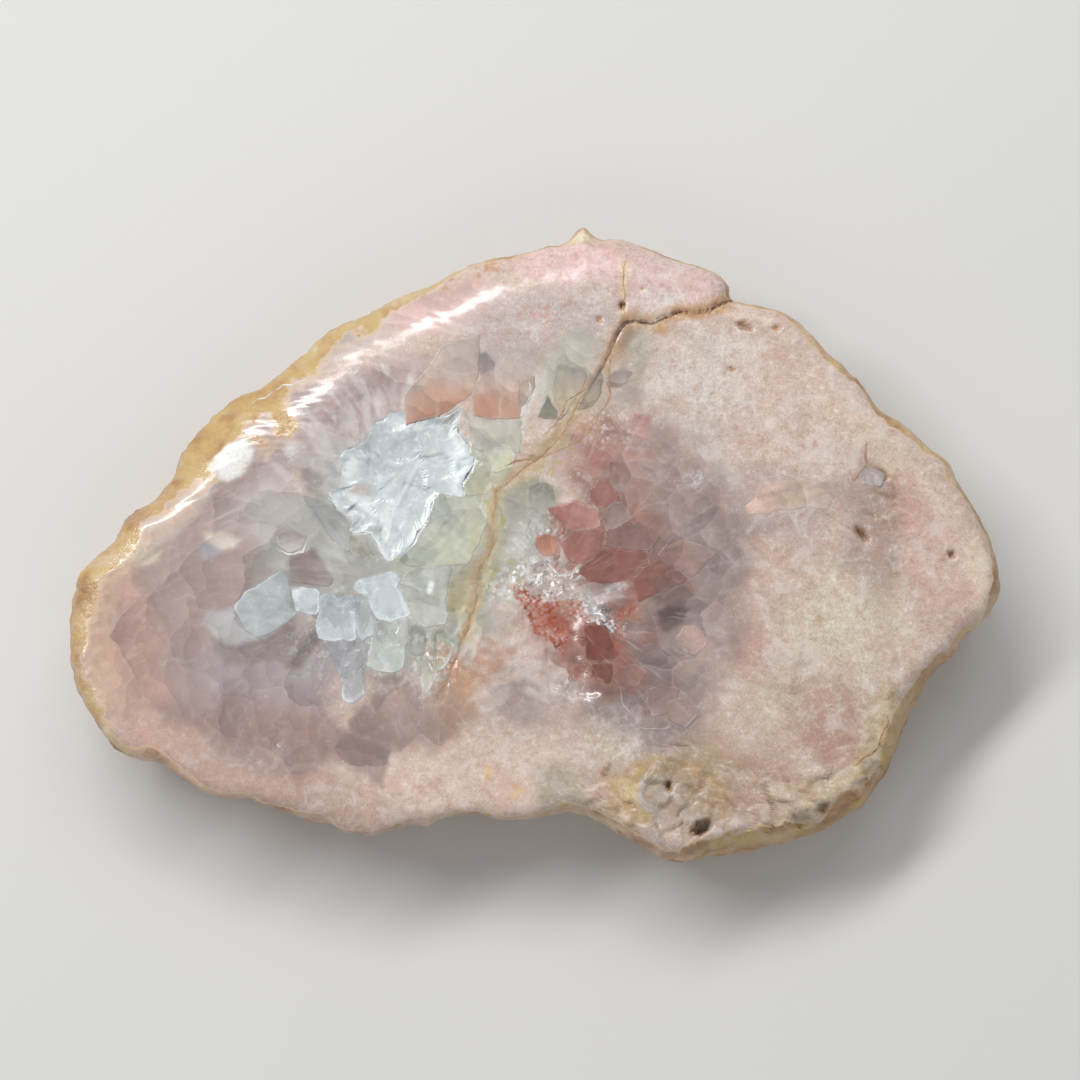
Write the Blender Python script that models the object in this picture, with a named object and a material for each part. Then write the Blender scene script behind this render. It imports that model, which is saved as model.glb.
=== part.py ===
"""Pink amethyst slice, one stone 116 mm long, 81 mm wide and about 15 mm thick.

The stone lies on its sawn flat back. Its face is polished, and the polish rolls over the upper
left edge as a wide shoulder. Two lobes meet in an open crack with a step, and a healed vein runs
on from the crack. In the middle of the face the druse opens in a few shallow hollows, where
quartz points reach up to the polished plane. The side is rough rind.

The face is a height over the slice's plane: points are scattered inside the outline, joined by
a Delaunay triangulation, and lifted to the height that the shoulder, the crack, the ledge, the
pits and the crystals give them. The rind is bridged down from the rim in rings, to the flat back.
"""

import math
import random

import bmesh
import bpy
import numpy as np
from mathutils import Vector, noise
from mathutils.geometry import delaunay_2d_cdt

MM = 0.001
NODE_NAME = "amethyst_slice"
SEED = 27

# Sizes in millimetres.
THICKNESS = 14.0  # back to face, near the rim
CROWN = 0.8  # how far the middle of the face stands above that
HALF_LENGTH = 58.0
HALF_WIDTH = 40.5
HEART = (-7.0, -4.5)  # every ray to the rim starts here

CURVE_STEPS = 12  # of the curve between two corners of the outline
RIM_POINTS = 168
FACE_SPACING = 2.5
LEAST_GAP = 0.55  # between points of the face, and most of it between them and the rim
RIM_MARGIN = 0.4  # no point is closer to the rim
JITTER = 0.5  # how far the points of the open face are scattered

# The widest contour of the stone, clockwise from the left end.
OUTLINE = (
    (-58.0, -15.5), (-58.0, -11.5), (-57.5, -5.5), (-56.0, -3.0), (-53.0, -0.5), (-51.5, 2.5),
    (-48.5, 4.5), (-46.0, 7.5), (-45.0, 10.5), (-43.5, 13.0), (-39.5, 17.0), (-37.5, 18.5),
    (-35.0, 19.5), (-32.5, 21.5), (-29.5, 24.0), (-27.0, 26.5), (-23.0, 28.5), (-19.0, 30.5),
    (-16.0, 32.0), (-12.0, 33.5), (-7.0, 36.0), (-1.5, 37.0), (2.0, 38.0), (3.8, 38.5),
    (6.0, 40.5), (7.7, 39.0), (11.5, 38.5), (16.5, 36.5), (21.0, 34.8), (22.7, 34.3),
    (23.8, 33.3), (24.4, 32.2), (24.6, 30.6), (26.5, 30.0), (29.0, 29.5), (32.5, 28.0),
    (36.0, 24.5), (40.0, 20.5), (43.5, 16.0), (46.5, 14.0), (51.5, 9.5), (53.5, 6.0),
    (56.0, 2.0), (57.5, -2.0), (58.0, -5.5), (57.8, -7.5), (56.0, -10.5), (53.5, -12.5),
    (52.5, -14.5), (49.5, -17.0), (47.0, -21.0), (45.0, -26.5), (41.5, -32.5), (39.0, -34.5),
    (35.5, -36.5), (32.5, -37.5), (28.0, -38.5), (25.5, -39.0), (21.5, -39.5), (19.0, -40.5),
    (15.5, -40.0), (12.5, -38.5), (8.0, -35.5), (4.5, -34.5), (0.0, -35.5), (-4.5, -35.5),
    (-9.0, -35.0), (-13.0, -36.0), (-17.0, -36.5), (-20.0, -37.5), (-23.5, -37.0),
    (-26.5, -35.5), (-30.5, -35.0), (-34.0, -33.5), (-37.5, -33.0), (-41.5, -32.0),
    (-46.0, -29.0), (-50.5, -27.5), (-53.5, -25.0), (-56.0, -21.5), (-57.5, -18.0),
)

# Direction from the heart in degrees, shoulder width, shoulder drop, and how far the foot of
# the side is drawn in.
RIM_TABLE = (
    (-170.0, 3.0, 2.4, 2.6),
    (-155.0, 2.2, 2.0, 3.0),
    (-140.0, 2.0, 1.6, 3.2),
    (-110.0, 1.8, 1.4, 3.4),
    (-85.0, 1.8, 1.6, 3.0),
    (-62.0, 1.8, 3.0, 2.6),
    (-40.0, 3.0, 7.5, 0.8),
    (-22.0, 3.0, 7.0, 0.8),
    (-8.0, 2.4, 3.0, 2.0),
    (20.0, 2.6, 2.0, 2.4),
    (40.0, 2.4, 2.0, 2.4),
    (55.0, 4.0, 3.0, 2.8),
    (75.0, 8.0, 4.4, 3.0),
    (100.0, 9.0, 5.0, 3.2),
    (112.0, 9.4, 5.0, 3.2),
    (135.0, 9.2, 5.2, 3.4),
    (143.0, 9.0, 5.2, 3.4),
    (156.0, 7.6, 5.0, 3.4),
    (163.0, 6.0, 4.2, 3.2),
    (172.0, 4.2, 3.2, 2.8),
    (180.0, 3.6, 3.0, 2.6),
)
SHOULDER_RINGS = (0.12, 0.3, 0.52, 0.76, 1.0)  # shares of the shoulder's width
RIND_LEVELS = (0.86, 0.7, 0.54, 0.38, 0.22, 0.07)  # shares of the rim's height
# The rind's lumps are waves: turns round the stone, lean with height, size and phase.
RIND_WAVES = (
    (7.0, 0.25, 0.45, 0.3),
    (13.0, -0.35, 0.40, 1.9),
    (19.0, 0.5, 0.35, 4.1),
    (29.0, -0.6, 0.25, 2.6),
    (41.0, 0.8, 0.20, 5.2),
)
FOOT_CURVE = 1.4  # above 1, the side is drawn in more near its foot
RIND_INSET = 0.5  # how far the lumps' middle lies inside the widest contour
RIND_OUTMOST = 0.4  # no lump stands further out than this
RIND_SOFTENING = 9  # rim points over which the outline's corners fade towards the foot
RIND_CHIP = 0.9  # height of the lumps where the side is broken back to the face
CHIP_SIZE = 1.9
CHIPPED_DROP = 5.0  # a shoulder that falls further than this is broken rind, not polish

# The open crack between the two lobes, from the rim inwards, and the vein that goes on from it.
CRACK = (
    (26.0, 31.4), (24.5, 30.6), (22.0, 29.0), (19.5, 28.5), (16.5, 27.5), (14.5, 26.6),
    (12.8, 27.0), (11.0, 26.8), (10.3, 25.0), (9.5, 23.0), (8.0, 21.0), (6.5, 18.0),
    (5.0, 16.5), (3.5, 15.0),
)
CRACK_DEPTH = 0.7
CRACK_HALF_WIDTH = 0.45
CRACK_CLOSED = 0.25  # share of its depth that is left where it has closed
CRACK_FADE = 0.55  # share of its length after which the crack closes
STEP_UP = 0.7
STEP_DOWN = 0.5
STEP_REACH = 7.0

VEIN = (
    (3.5, 15.0), (2.5, 12.0), (1.0, 9.8), (-3.0, 7.0), (-5.0, 5.5), (-5.0, 1.0), (-6.0, -3.0),
    (-7.5, -8.5), (-8.5, -12.5), (-9.5, -15.0), (-12.0, -21.0),
)
VEIN_DEPTH = 0.15
VEIN_HALF_WIDTH = 0.8

# Centre, half length, half width, turn in degrees, depth.
PITS = (
    (26.2, 26.6, 1.4, 0.5, -25.0, 0.6),
    (30.2, 26.4, 0.6, 0.5, 0.0, 0.4),
    (24.6, 21.0, 0.4, 0.4, 0.0, 0.3),
    (11.6, 29.3, 0.6, 0.7, 0.0, 0.7),
    (40.6, 0.0, 1.5, 0.5, -52.0, 0.9),
    (43.5, 7.5, 1.2, 0.6, -30.0, 0.4),
    (51.8, -2.5, 0.6, 0.4, -60.0, 0.5),
    (20.5, -36.7, 1.6, 0.9, 40.0, 1.8),
    (16.4, -31.6, 0.4, 0.6, 10.0, 0.5),
    (35.4, -34.2, 0.9, 0.6, 20.0, 0.7),
)
PIT_SIDES = 7
PIT_FLOOR_SIDES = 4
PIT_FLOOR = 0.5  # width of a pit's floor over that of its mouth
PIT_GAP = 0.2

# The broken white quartz, a shallow ledge with a jagged border.
LEDGE = (
    (-26.1, 4.9), (-24.4, 7.4), (-24.5, 9.9), (-22.5, 11.1), (-20.6, 13.3), (-18.8, 14.8),
    (-16.6, 15.3), (-13.9, 14.8), (-11.6, 14.6), (-9.2, 15.8), (-9.6, 12.9), (-8.2, 11.1),
    (-7.5, 9.6), (-8.1, 8.2), (-9.2, 6.4), (-9.0, 4.6), (-12.1, 5.0), (-13.4, 1.6),
    (-15.4, -1.2), (-18.2, -3.6), (-20.0, -1.4), (-21.4, -0.1), (-23.6, 0.4), (-23.0, 2.2),
    (-24.9, 3.0),
)
LEDGE_DEPTH = 0.55
LEDGE_WALL = 0.45
LEDGE_FOOT = 1.4  # the row of points at the foot lies this many wall widths in

# The druse: crystals grown together, cut flush by the polish but for its open hollows.
DRUSE = (
    (-26.0, -4.5), (-18.5, -5.5), (-12.0, 3.0), (-6.5, 5.0), (3.0, 14.0), (13.0, 14.5),
    (19.0, 7.0), (20.0, -4.0), (16.0, -13.0), (10.5, -22.0), (2.0, -23.0), (-4.0, -16.0),
    (-11.0, -22.0), (-23.5, -24.0),
)
# Each hollow of the druse: centre, half length, half width, turn in degrees.
HOLLOWS = (
    (-18.5, -13.5, 9.5, 9.0, 0.0),
    (3.0, -7.5, 8.5, 5.0, -25.0),
    (5.5, -17.5, 4.5, 3.5, 0.0),
    (-8.5, 9.0, 3.0, 6.0, 0.0),
    (8.0, 13.0, 4.0, 2.2, 0.0),
)
DRUSE_DEPTH = 0.9
HOLLOW_EDGE = (1.3, 0.65)  # from flush to full depth, as shares of the hollow's size
VEIN_WALL = (0.5, 1.8)  # the vein stands as a wall between hollows: its half top and half foot
OPEN_DEPTH = 0.12  # quartz points grow where the druse lies deeper than this
CRYSTAL_TRIES = 2500
CRYSTAL_SPACING = 2.3
CRYSTAL_RADIUS = (0.8, 1.3)
CRYSTAL_MARGIN = 0.5  # nothing else stands this close to a crystal
CRYSTAL_REACH = (0.5, 0.95)  # shares of the druse's depth that a point rises
CRYSTAL_SIDES = (5, 6)
CRYSTAL_ROUND = 0.86  # width of a point over its length
CRYSTAL_LEAN = 0.5  # how far its tip leans, as a share of its radius
BIG_REACH = 0.98
BIG_LEAN = 0.25
CUT_TOP = 0.42  # share of a big crystal's radius that the polish cut flat
CRACK_SPACING = 1.5
VEIN_SPACING = 1.8
PATH_GAP = 0.4  # between the points of the crack and of the vein
DETAIL_GAP = 0.3  # between the points of the ledge, the pits and the crystals

# The crystals that stand out: centre, radius, sides, turn in degrees.
BIG_CRYSTALS = (
    (-22.0, -17.2, 2.2, 6, 10.0),
    (-17.5, -13.5, 2.6, 6, 35.0),
    (-13.6, -12.8, 2.0, 5, 0.0),
    (-10.8, -14.6, 1.8, 6, 20.0),
    (-18.7, -8.6, 2.6, 6, 50.0),
    (-12.2, -7.6, 2.7, 6, 15.0),
    (-23.8, -9.6, 2.0, 5, 25.0),
    (8.6, -14.8, 2.3, 6, 8.0),
    (4.4, -15.4, 1.7, 5, 30.0),
    (9.2, -9.8, 1.8, 6, 55.0),
    (1.6, -2.6, 1.4, 6, 12.0),
    (-8.6, 8.6, 1.5, 5, 18.0),
    (8.8, 13.2, 1.4, 6, 40.0),
)


def clear_scene():
    """Removes the objects of the open file."""
    for old in list(bpy.data.objects):
        bpy.data.objects.remove(old, do_unlink=True)


def closed_curve(points, count):
    """A closed Catmull-Rom curve through the points, as evenly spaced points."""
    knots = np.array(points, dtype=float)
    share = np.linspace(0.0, 1.0, CURVE_STEPS, endpoint=False)[None, :, None]
    before = np.roll(knots, 1, axis=0)[:, None, :]
    start = knots[:, None, :]
    end = np.roll(knots, -1, axis=0)[:, None, :]
    after = np.roll(knots, -2, axis=0)[:, None, :]
    dense = 0.5 * (
        2.0 * start
        + (end - before) * share
        + (2.0 * before - 5.0 * start + 4.0 * end - after) * share**2
        + (3.0 * start - before - 3.0 * end + after) * share**3
    )
    dense = dense.reshape(-1, 2)
    closed = np.vstack([dense, dense[:1]])
    walked = np.concatenate([[0.0], np.cumsum(np.hypot(*np.diff(closed, axis=0).T))])
    stations = np.linspace(0.0, walked[-1], count, endpoint=False)
    return np.column_stack([np.interp(stations, walked, closed[:, axis]) for axis in (0, 1)])


def rim_values(points):
    """Shoulder width, shoulder drop and foot draw in the direction of each point."""
    angles = np.degrees(np.arctan2(points[:, 1] - HEART[1], points[:, 0] - HEART[0]))
    table = np.array(RIM_TABLE)
    return [np.interp(angles, table[:, 0], table[:, column], period=360.0) for column in (1, 2, 3)]


def path_distance(points, path, closed):
    """Distance from each point to a path, the side it lies on and its place along the path."""
    corners = np.array(path, dtype=float)
    ends = np.roll(corners, -1, axis=0) if closed else corners[1:]
    starts = corners if closed else corners[:-1]
    along = ends - starts
    lengths = np.hypot(along[:, 0], along[:, 1])
    offset = points[:, None, :] - starts[None, :, :]
    share = np.clip((offset * along).sum(axis=2) / lengths**2, 0.0, 1.0)
    gap = offset - share[:, :, None] * along
    distances = np.hypot(gap[:, :, 0], gap[:, :, 1])
    nearest = distances.argmin(axis=1)
    rows = np.arange(len(points))
    cross = along[nearest, 0] * offset[rows, nearest, 1] - along[nearest, 1] * offset[rows, nearest, 0]
    walked = np.concatenate([[0.0], np.cumsum(lengths)[:-1]])
    place = (walked[nearest] + share[rows, nearest] * lengths[nearest]) / lengths.sum()
    return distances[rows, nearest], np.sign(cross), place


def inside(points, polygon):
    """True for each point inside a polygon, by counting the edges to its right."""
    corners = np.array(polygon, dtype=float)
    following = np.roll(corners, -1, axis=0)
    x, y = points[:, 0][:, None], points[:, 1][:, None]
    spans = (corners[:, 1] > y) != (following[:, 1] > y)
    rise = following[:, 1] - corners[:, 1]
    rise = np.where(np.abs(rise) < 1e-9, 1e-9, rise)
    crossing = corners[:, 0] + (y - corners[:, 1]) / rise * (following[:, 0] - corners[:, 0])
    return (spans & (x < crossing)).sum(axis=1) % 2 == 1


def crown_height(points):
    """The face without its features: a low crown over the thickness."""
    spread = (points[:, 0] / HALF_LENGTH) ** 2 + (points[:, 1] / HALF_WIDTH) ** 2
    return THICKNESS + CROWN * (1.0 - np.clip(spread, 0.0, 1.0))


def shoulder_drop(points, rim):
    """How far the rounded shoulder takes the face down, a quarter of an ellipse."""
    distance, _, _ = path_distance(points, rim, closed=True)
    width, drop, _ = rim_values(points)
    inward = np.clip(1.0 - distance / width, 0.0, 1.0)
    return drop * (1.0 - np.sqrt(np.clip(1.0 - inward**2, 0.0, 1.0)))


def crack_height(points):
    """The step between the lobes and the open crack along it."""
    distance, side, place = path_distance(points, CRACK, closed=False)
    strength = np.clip((1.0 - place) / (1.0 - CRACK_FADE), 0.0, 1.0)
    # The path runs inwards from the rim, so the upper lobe is on its right.
    step = np.where(side < 0.0, STEP_UP, -STEP_DOWN) * np.exp(-distance / STEP_REACH)
    groove = CRACK_DEPTH * np.clip(1.0 - distance / CRACK_HALF_WIDTH, 0.0, 1.0)
    return strength * step - (CRACK_CLOSED + (1.0 - CRACK_CLOSED) * strength) * groove


def vein_height(points):
    """The shallow valley of the healed vein."""
    distance, _, _ = path_distance(points, VEIN, closed=False)
    return -VEIN_DEPTH * np.clip(1.0 - distance / VEIN_HALF_WIDTH, 0.0, 1.0)


def ledge_height(points):
    """The broken white quartz lies a little lower, behind a steep jagged border."""
    distance, _, _ = path_distance(points, LEDGE, closed=True)
    depth = LEDGE_DEPTH * np.clip(distance / LEDGE_WALL, 0.0, 1.0)
    return np.where(inside(points, LEDGE), -depth, 0.0)


def druse_depth(points):
    """How far the floor of the druse lies under the polished plane."""
    share = np.zeros(len(points))
    edge, full = HOLLOW_EDGE
    for x, y, half_length, half_width, turn_deg in HOLLOWS:
        turn = math.radians(turn_deg)
        across, up = points[:, 0] - x, points[:, 1] - y
        along = (across * math.cos(turn) + up * math.sin(turn)) / half_length
        aside = (up * math.cos(turn) - across * math.sin(turn)) / half_width
        share = np.maximum(share, np.clip((edge - np.hypot(along, aside)) / (edge - full), 0.0, 1.0))
    vein_gap, _, _ = path_distance(points, VEIN, closed=False)
    top, foot = VEIN_WALL
    wall = np.clip((vein_gap - top) / (foot - top), 0.0, 1.0)
    return np.where(inside(points, DRUSE) & ~inside(points, LEDGE), DRUSE_DEPTH * share * wall, 0.0)


def face_height(points, rim):
    """The height of the face at each point, in millimetres."""
    return (
        crown_height(points)
        - shoulder_drop(points, rim)
        + crack_height(points)
        + vein_height(points)
        + ledge_height(points)
        - druse_depth(points)
    )


class FacePoints:
    """The points of the face, each with its own lift above the face's height."""

    def __init__(self, rim):
        self.places = [tuple(point) for point in rim]
        self.lifts = [0.0] * len(rim)
        self.rim = rim
        self.blocked = []

    def clear_of_others(self, place, gap):
        """True if nothing already placed is within the gap."""
        offsets = np.array(self.places) - place
        return float(np.hypot(offsets[:, 0], offsets[:, 1]).min()) >= gap

    def add(self, place, lift=0.0, gap=LEAST_GAP):
        """Adds one point unless it is outside the rim or too close to another."""
        spot = np.array([place])
        rim_gap = path_distance(spot, self.rim, closed=True)[0][0]
        if not inside(spot, self.rim)[0] or rim_gap < RIM_MARGIN:
            return
        if self.clear_of_others(spot[0], gap):
            self.places.append((float(place[0]), float(place[1])))
            self.lifts.append(lift)

    def block(self, centre, radius):
        """Keeps scattered points out of a crystal or a pit."""
        self.blocked.append((centre[0], centre[1], radius))

    def is_blocked(self, place):
        """True inside a crystal or a pit."""
        return any(math.hypot(place[0] - x, place[1] - y) < reach for x, y, reach in self.blocked)


def ellipse_points(centre, half_length, half_width, turn_deg, sides):
    """Corners of a turned ellipse, going round once."""
    turn = math.radians(turn_deg)
    corners = []
    for step in range(sides):
        angle = 2.0 * math.pi * step / sides
        across, up = half_length * math.cos(angle), half_width * math.sin(angle)
        corners.append((
            centre[0] + across * math.cos(turn) - up * math.sin(turn),
            centre[1] + across * math.sin(turn) + up * math.cos(turn),
        ))
    return corners


def add_shoulder(face, rim):
    """Rings of points that follow the rim across the shoulder."""
    heart = np.array(HEART)
    rays = heart - rim
    rays /= np.hypot(rays[:, 0], rays[:, 1])[:, None]
    width = rim_values(rim)[0]
    for share in SHOULDER_RINGS:
        for place in rim + rays * (width * share)[:, None]:
            face.add(place, lift=chip_lift(place))


def add_path_rows(face, path, offset, spacing):
    """A row of points on a path and one on each side of it."""
    corners = np.array(path, dtype=float)
    for start, end in zip(corners[:-1], corners[1:]):
        along = end - start
        length = float(np.hypot(*along))
        across = np.array([-along[1], along[0]]) / length
        for step in range(max(1, round(length / spacing))):
            middle = start + along * step / max(1, round(length / spacing))
            face.add(middle, gap=PATH_GAP)
            face.add(middle + across * offset, gap=PATH_GAP)
            face.add(middle - across * offset, gap=PATH_GAP)


def add_ledge(face):
    """The ledge's border, and the foot of its wall just inside."""
    corners = np.array(LEDGE)
    middle = corners.mean(axis=0)
    for start, end in zip(corners, np.roll(corners, -1, axis=0)):
        for spot in (start, (start + end) / 2.0):
            inward = (middle - spot) / np.hypot(*(middle - spot))
            face.add(spot, gap=DETAIL_GAP)
            face.add(spot + inward * LEDGE_WALL * LEDGE_FOOT, gap=DETAIL_GAP)


def add_pits(face):
    """Each pit is a ring at the face and a lower ring inside it."""
    for x, y, half_length, half_width, turn, depth in PITS:
        for corner in ellipse_points((x, y), half_length, half_width, turn, PIT_SIDES):
            face.add(corner, gap=DETAIL_GAP)
        floor = (half_length * PIT_FLOOR, half_width * PIT_FLOOR)
        for corner in ellipse_points((x, y), *floor, turn, PIT_FLOOR_SIDES):
            face.add(corner, lift=-depth, gap=PIT_GAP)
        face.block((x, y), max(half_length, half_width) + DETAIL_GAP)


def add_crystal(face, centre, radius, reach, sides, turn, lean, top_share):
    """A quartz point: a ring on the druse's floor, and a tip or a flat top off its centre."""
    for corner in ellipse_points(centre, radius, radius * CRYSTAL_ROUND, turn, sides):
        face.add(corner, gap=DETAIL_GAP)
    top = (centre[0] + lean[0], centre[1] + lean[1])
    lift = reach * float(druse_depth(np.array([top]))[0])
    if top_share:
        cut = radius * top_share
        for corner in ellipse_points(top, cut, cut * CRYSTAL_ROUND, turn, sides):
            depth_there = float(druse_depth(np.array([corner]))[0])
            face.add(corner, lift=reach * depth_there, gap=DETAIL_GAP)
    face.add(top, lift=lift, gap=DETAIL_GAP)
    face.block(centre, radius + CRYSTAL_MARGIN)


def add_crystals(face, draw):
    """The big crystals, then the druse packed with smaller ones."""
    for x, y, radius, sides, turn in BIG_CRYSTALS:
        lean = [draw.uniform(-BIG_LEAN, BIG_LEAN) * radius for _ in range(2)]
        add_crystal(face, (x, y), radius, BIG_REACH, sides, turn, lean, CUT_TOP)
    low_x, high_x = min(x for x, _ in DRUSE), max(x for x, _ in DRUSE)
    low_y, high_y = min(y for _, y in DRUSE), max(y for _, y in DRUSE)
    centres = []
    for _ in range(CRYSTAL_TRIES):
        spot = (draw.uniform(low_x, high_x), draw.uniform(low_y, high_y))
        radius = draw.uniform(*CRYSTAL_RADIUS)
        reach = draw.uniform(*CRYSTAL_REACH)
        lean = [draw.uniform(-CRYSTAL_LEAN, CRYSTAL_LEAN) * radius for _ in range(2)]
        sides, turn = draw.choice(CRYSTAL_SIDES), draw.uniform(0.0, 60.0)
        near = any(math.hypot(spot[0] - x, spot[1] - y) < CRYSTAL_SPACING for x, y in centres)
        if near or face.is_blocked(spot) or druse_depth(np.array([spot]))[0] < OPEN_DEPTH:
            continue
        centres.append(spot)
        add_crystal(face, spot, radius, reach, sides, turn, lean, 0.0)


def add_field(face, draw):
    """A jittered triangular grid over the rest of the face."""
    row_height = FACE_SPACING * math.sqrt(3.0) / 2.0
    for row in range(round(2.0 * HALF_WIDTH / row_height) + 1):
        shift = FACE_SPACING / 2.0 if row % 2 else 0.0
        for column in range(round(2.0 * HALF_LENGTH / FACE_SPACING) + 1):
            spot = (
                column * FACE_SPACING - HALF_LENGTH + shift + draw.uniform(-JITTER, JITTER),
                row * row_height - HALF_WIDTH + draw.uniform(-JITTER, JITTER),
            )
            if not face.is_blocked(spot):
                face.add(spot, gap=FACE_SPACING / 2.0)


def rind_lump(place, height):
    """How far the rough rind stands out at one place."""
    angle = math.atan2(place[1] - HEART[1], place[0] - HEART[0])
    return sum(
        size * math.sin(turns * angle + lean * height + phase)
        for turns, lean, size, phase in RIND_WAVES
    )


def chip_lift(place):
    """The lumps of a shoulder that is broken rind: none on a polished one."""
    drop = rim_values(np.array([place]))[1][0]
    roughness = min(max((drop - CHIPPED_DROP) / (CHIPPED_DROP / 2.0), 0.0), 1.0)
    return RIND_CHIP * roughness * noise.noise(Vector((place[0], place[1], 0.0)) / CHIP_SIZE)


def build_face(mesh, rim, face):
    """Adds the triangulated face to the mesh and returns its rim vertices in order."""
    corners = [Vector(place) for place in face.places]
    border = list(range(len(rim)))
    flat, _, triangles, origins, _, _ = delaunay_2d_cdt(corners, [], [border], 1, 1e-6)
    places = np.array([tuple(point) for point in flat])
    heights = face_height(places, rim)
    vertices = []
    ring = {}
    for index, (place, height) in enumerate(zip(places, heights)):
        source = origins[index][0] if origins[index] else None
        lift = face.lifts[source] if source is not None else 0.0
        vertex = mesh.verts.new((place[0] * MM, place[1] * MM, (height + lift) * MM))
        vertices.append(vertex)
        if source is not None and source < len(rim):
            ring[source] = vertex
    for triangle in triangles:
        mesh.faces.new([vertices[index] for index in triangle])
    return [ring[index] for index in border]


def softened(rim):
    """The rim with its corners averaged away along its rays, as its distances from the heart."""
    reach = np.hypot(rim[:, 0] - HEART[0], rim[:, 1] - HEART[1])
    half = RIND_SOFTENING // 2
    return np.mean([np.roll(reach, shift) for shift in range(-half, half + 1)], axis=0)


def rind_ring(mesh, rim, top_ring, share):
    """One ring of the rough side, drawn in towards the foot and lumpy like the rind."""
    foot_draw = rim_values(rim)[2]
    heart = np.array(HEART)
    reach = np.hypot(rim[:, 0] - HEART[0], rim[:, 1] - HEART[1])
    soft_reach = np.minimum(softened(rim), reach)
    ring = []
    for place, own, soft, above, draw_in in zip(rim, reach, soft_reach, top_ring, foot_draw):
        outward = (place - heart) / own
        height = above.co.z / MM * share
        inset = draw_in * (1.0 - share) ** FOOT_CURVE + RIND_INSET - rind_lump(place, height)
        inset = max(inset, -RIND_OUTMOST)
        x, y = heart + outward * (own * share + soft * (1.0 - share) - inset)
        ring.append(mesh.verts.new((x * MM, y * MM, height * MM)))
    return ring


def bridge(mesh, upper, lower):
    """Joins two rings, both anticlockwise from above, with faces that point out."""
    following = upper[1:] + upper[:1]
    below = lower[1:] + lower[:1]
    for corner, beneath, beneath_next, corner_next in zip(upper, lower, below, following):
        mesh.faces.new((corner, beneath, beneath_next, corner_next))


def build_rind(mesh, rim, top_ring):
    """The rough side, ring by ring, and the flat sawn back."""
    ring = top_ring
    for share in RIND_LEVELS + (0.0,):
        lower = rind_ring(mesh, rim, top_ring, share)
        bridge(mesh, ring, lower)
        ring = lower
    mesh.faces.new(list(reversed(ring)))


def centre_on_back(mesh):
    """Puts the origin under the middle of the stone's box, on the back."""
    spots = np.array([vertex.co for vertex in mesh.verts])
    low, high = spots.min(axis=0), spots.max(axis=0)
    shift = Vector((-(low[0] + high[0]) / 2.0, -(low[1] + high[1]) / 2.0, -low[2]))
    bmesh.ops.translate(mesh, verts=mesh.verts, vec=shift)


def stone_material():
    """Pink quartz: pale rose, glossy, not metallic."""
    material = bpy.data.materials.new("polished_pink_quartz")
    material.use_nodes = True
    shader = material.node_tree.nodes["Principled BSDF"]
    shader.inputs["Base Color"].default_value = (0.55, 0.36, 0.32, 1.0)
    shader.inputs["Roughness"].default_value = 0.28
    shader.inputs["Metallic"].default_value = 0.0
    return material


def build_slice():
    """Models the slice and links it to the scene."""
    draw = random.Random(SEED)
    rim = closed_curve(OUTLINE[::-1], RIM_POINTS)
    face = FacePoints(rim)
    add_shoulder(face, rim)
    add_path_rows(face, CRACK, CRACK_HALF_WIDTH, CRACK_SPACING)
    add_path_rows(face, VEIN, VEIN_HALF_WIDTH, VEIN_SPACING)
    add_pits(face)
    add_ledge(face)
    add_crystals(face, draw)
    add_field(face, draw)
    mesh = bmesh.new()
    top_ring = build_face(mesh, rim, face)
    build_rind(mesh, rim, top_ring)
    centre_on_back(mesh)
    data = bpy.data.meshes.new(NODE_NAME)
    mesh.to_mesh(data)
    mesh.free()
    data.materials.append(stone_material())
    stone = bpy.data.objects.new(NODE_NAME, data)
    bpy.context.scene.collection.objects.link(stone)
    return stone


clear_scene()
build_slice()
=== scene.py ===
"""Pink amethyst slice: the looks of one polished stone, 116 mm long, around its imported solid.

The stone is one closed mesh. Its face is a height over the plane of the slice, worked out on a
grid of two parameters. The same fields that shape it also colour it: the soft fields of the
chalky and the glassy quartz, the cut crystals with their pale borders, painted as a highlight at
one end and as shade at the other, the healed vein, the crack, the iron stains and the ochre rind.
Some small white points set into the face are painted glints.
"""

import logging
import math
from dataclasses import dataclass, field
from enum import Enum

import bpy
import numpy as np
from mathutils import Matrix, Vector


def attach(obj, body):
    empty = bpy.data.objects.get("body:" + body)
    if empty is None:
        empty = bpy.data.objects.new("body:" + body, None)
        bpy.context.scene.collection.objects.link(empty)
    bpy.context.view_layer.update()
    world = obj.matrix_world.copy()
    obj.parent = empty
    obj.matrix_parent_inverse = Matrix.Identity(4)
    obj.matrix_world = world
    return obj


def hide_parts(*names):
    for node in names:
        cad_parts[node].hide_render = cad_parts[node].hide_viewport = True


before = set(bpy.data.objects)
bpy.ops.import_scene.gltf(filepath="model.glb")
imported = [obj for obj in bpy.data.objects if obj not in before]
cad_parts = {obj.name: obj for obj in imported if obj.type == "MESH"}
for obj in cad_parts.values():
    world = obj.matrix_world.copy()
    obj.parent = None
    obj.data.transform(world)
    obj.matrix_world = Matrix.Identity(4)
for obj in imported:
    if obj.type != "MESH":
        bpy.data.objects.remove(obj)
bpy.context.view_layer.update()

LOG = logging.getLogger("amethyst_slice")
MM = 0.001
NODE = "amethyst_slice"
Spot = tuple[float, float]
Beds = tuple[tuple[float, ...], ...]
Stops = tuple[tuple[float, str], ...]


class Side(Enum):
    """Which surface of the stone a vertex lies on, as the value its attribute holds."""

    FACE = 0.0
    RIND = 1.0
    SAWN = 2.0


# ---------------------------------------------------------------- colour and noise


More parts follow.
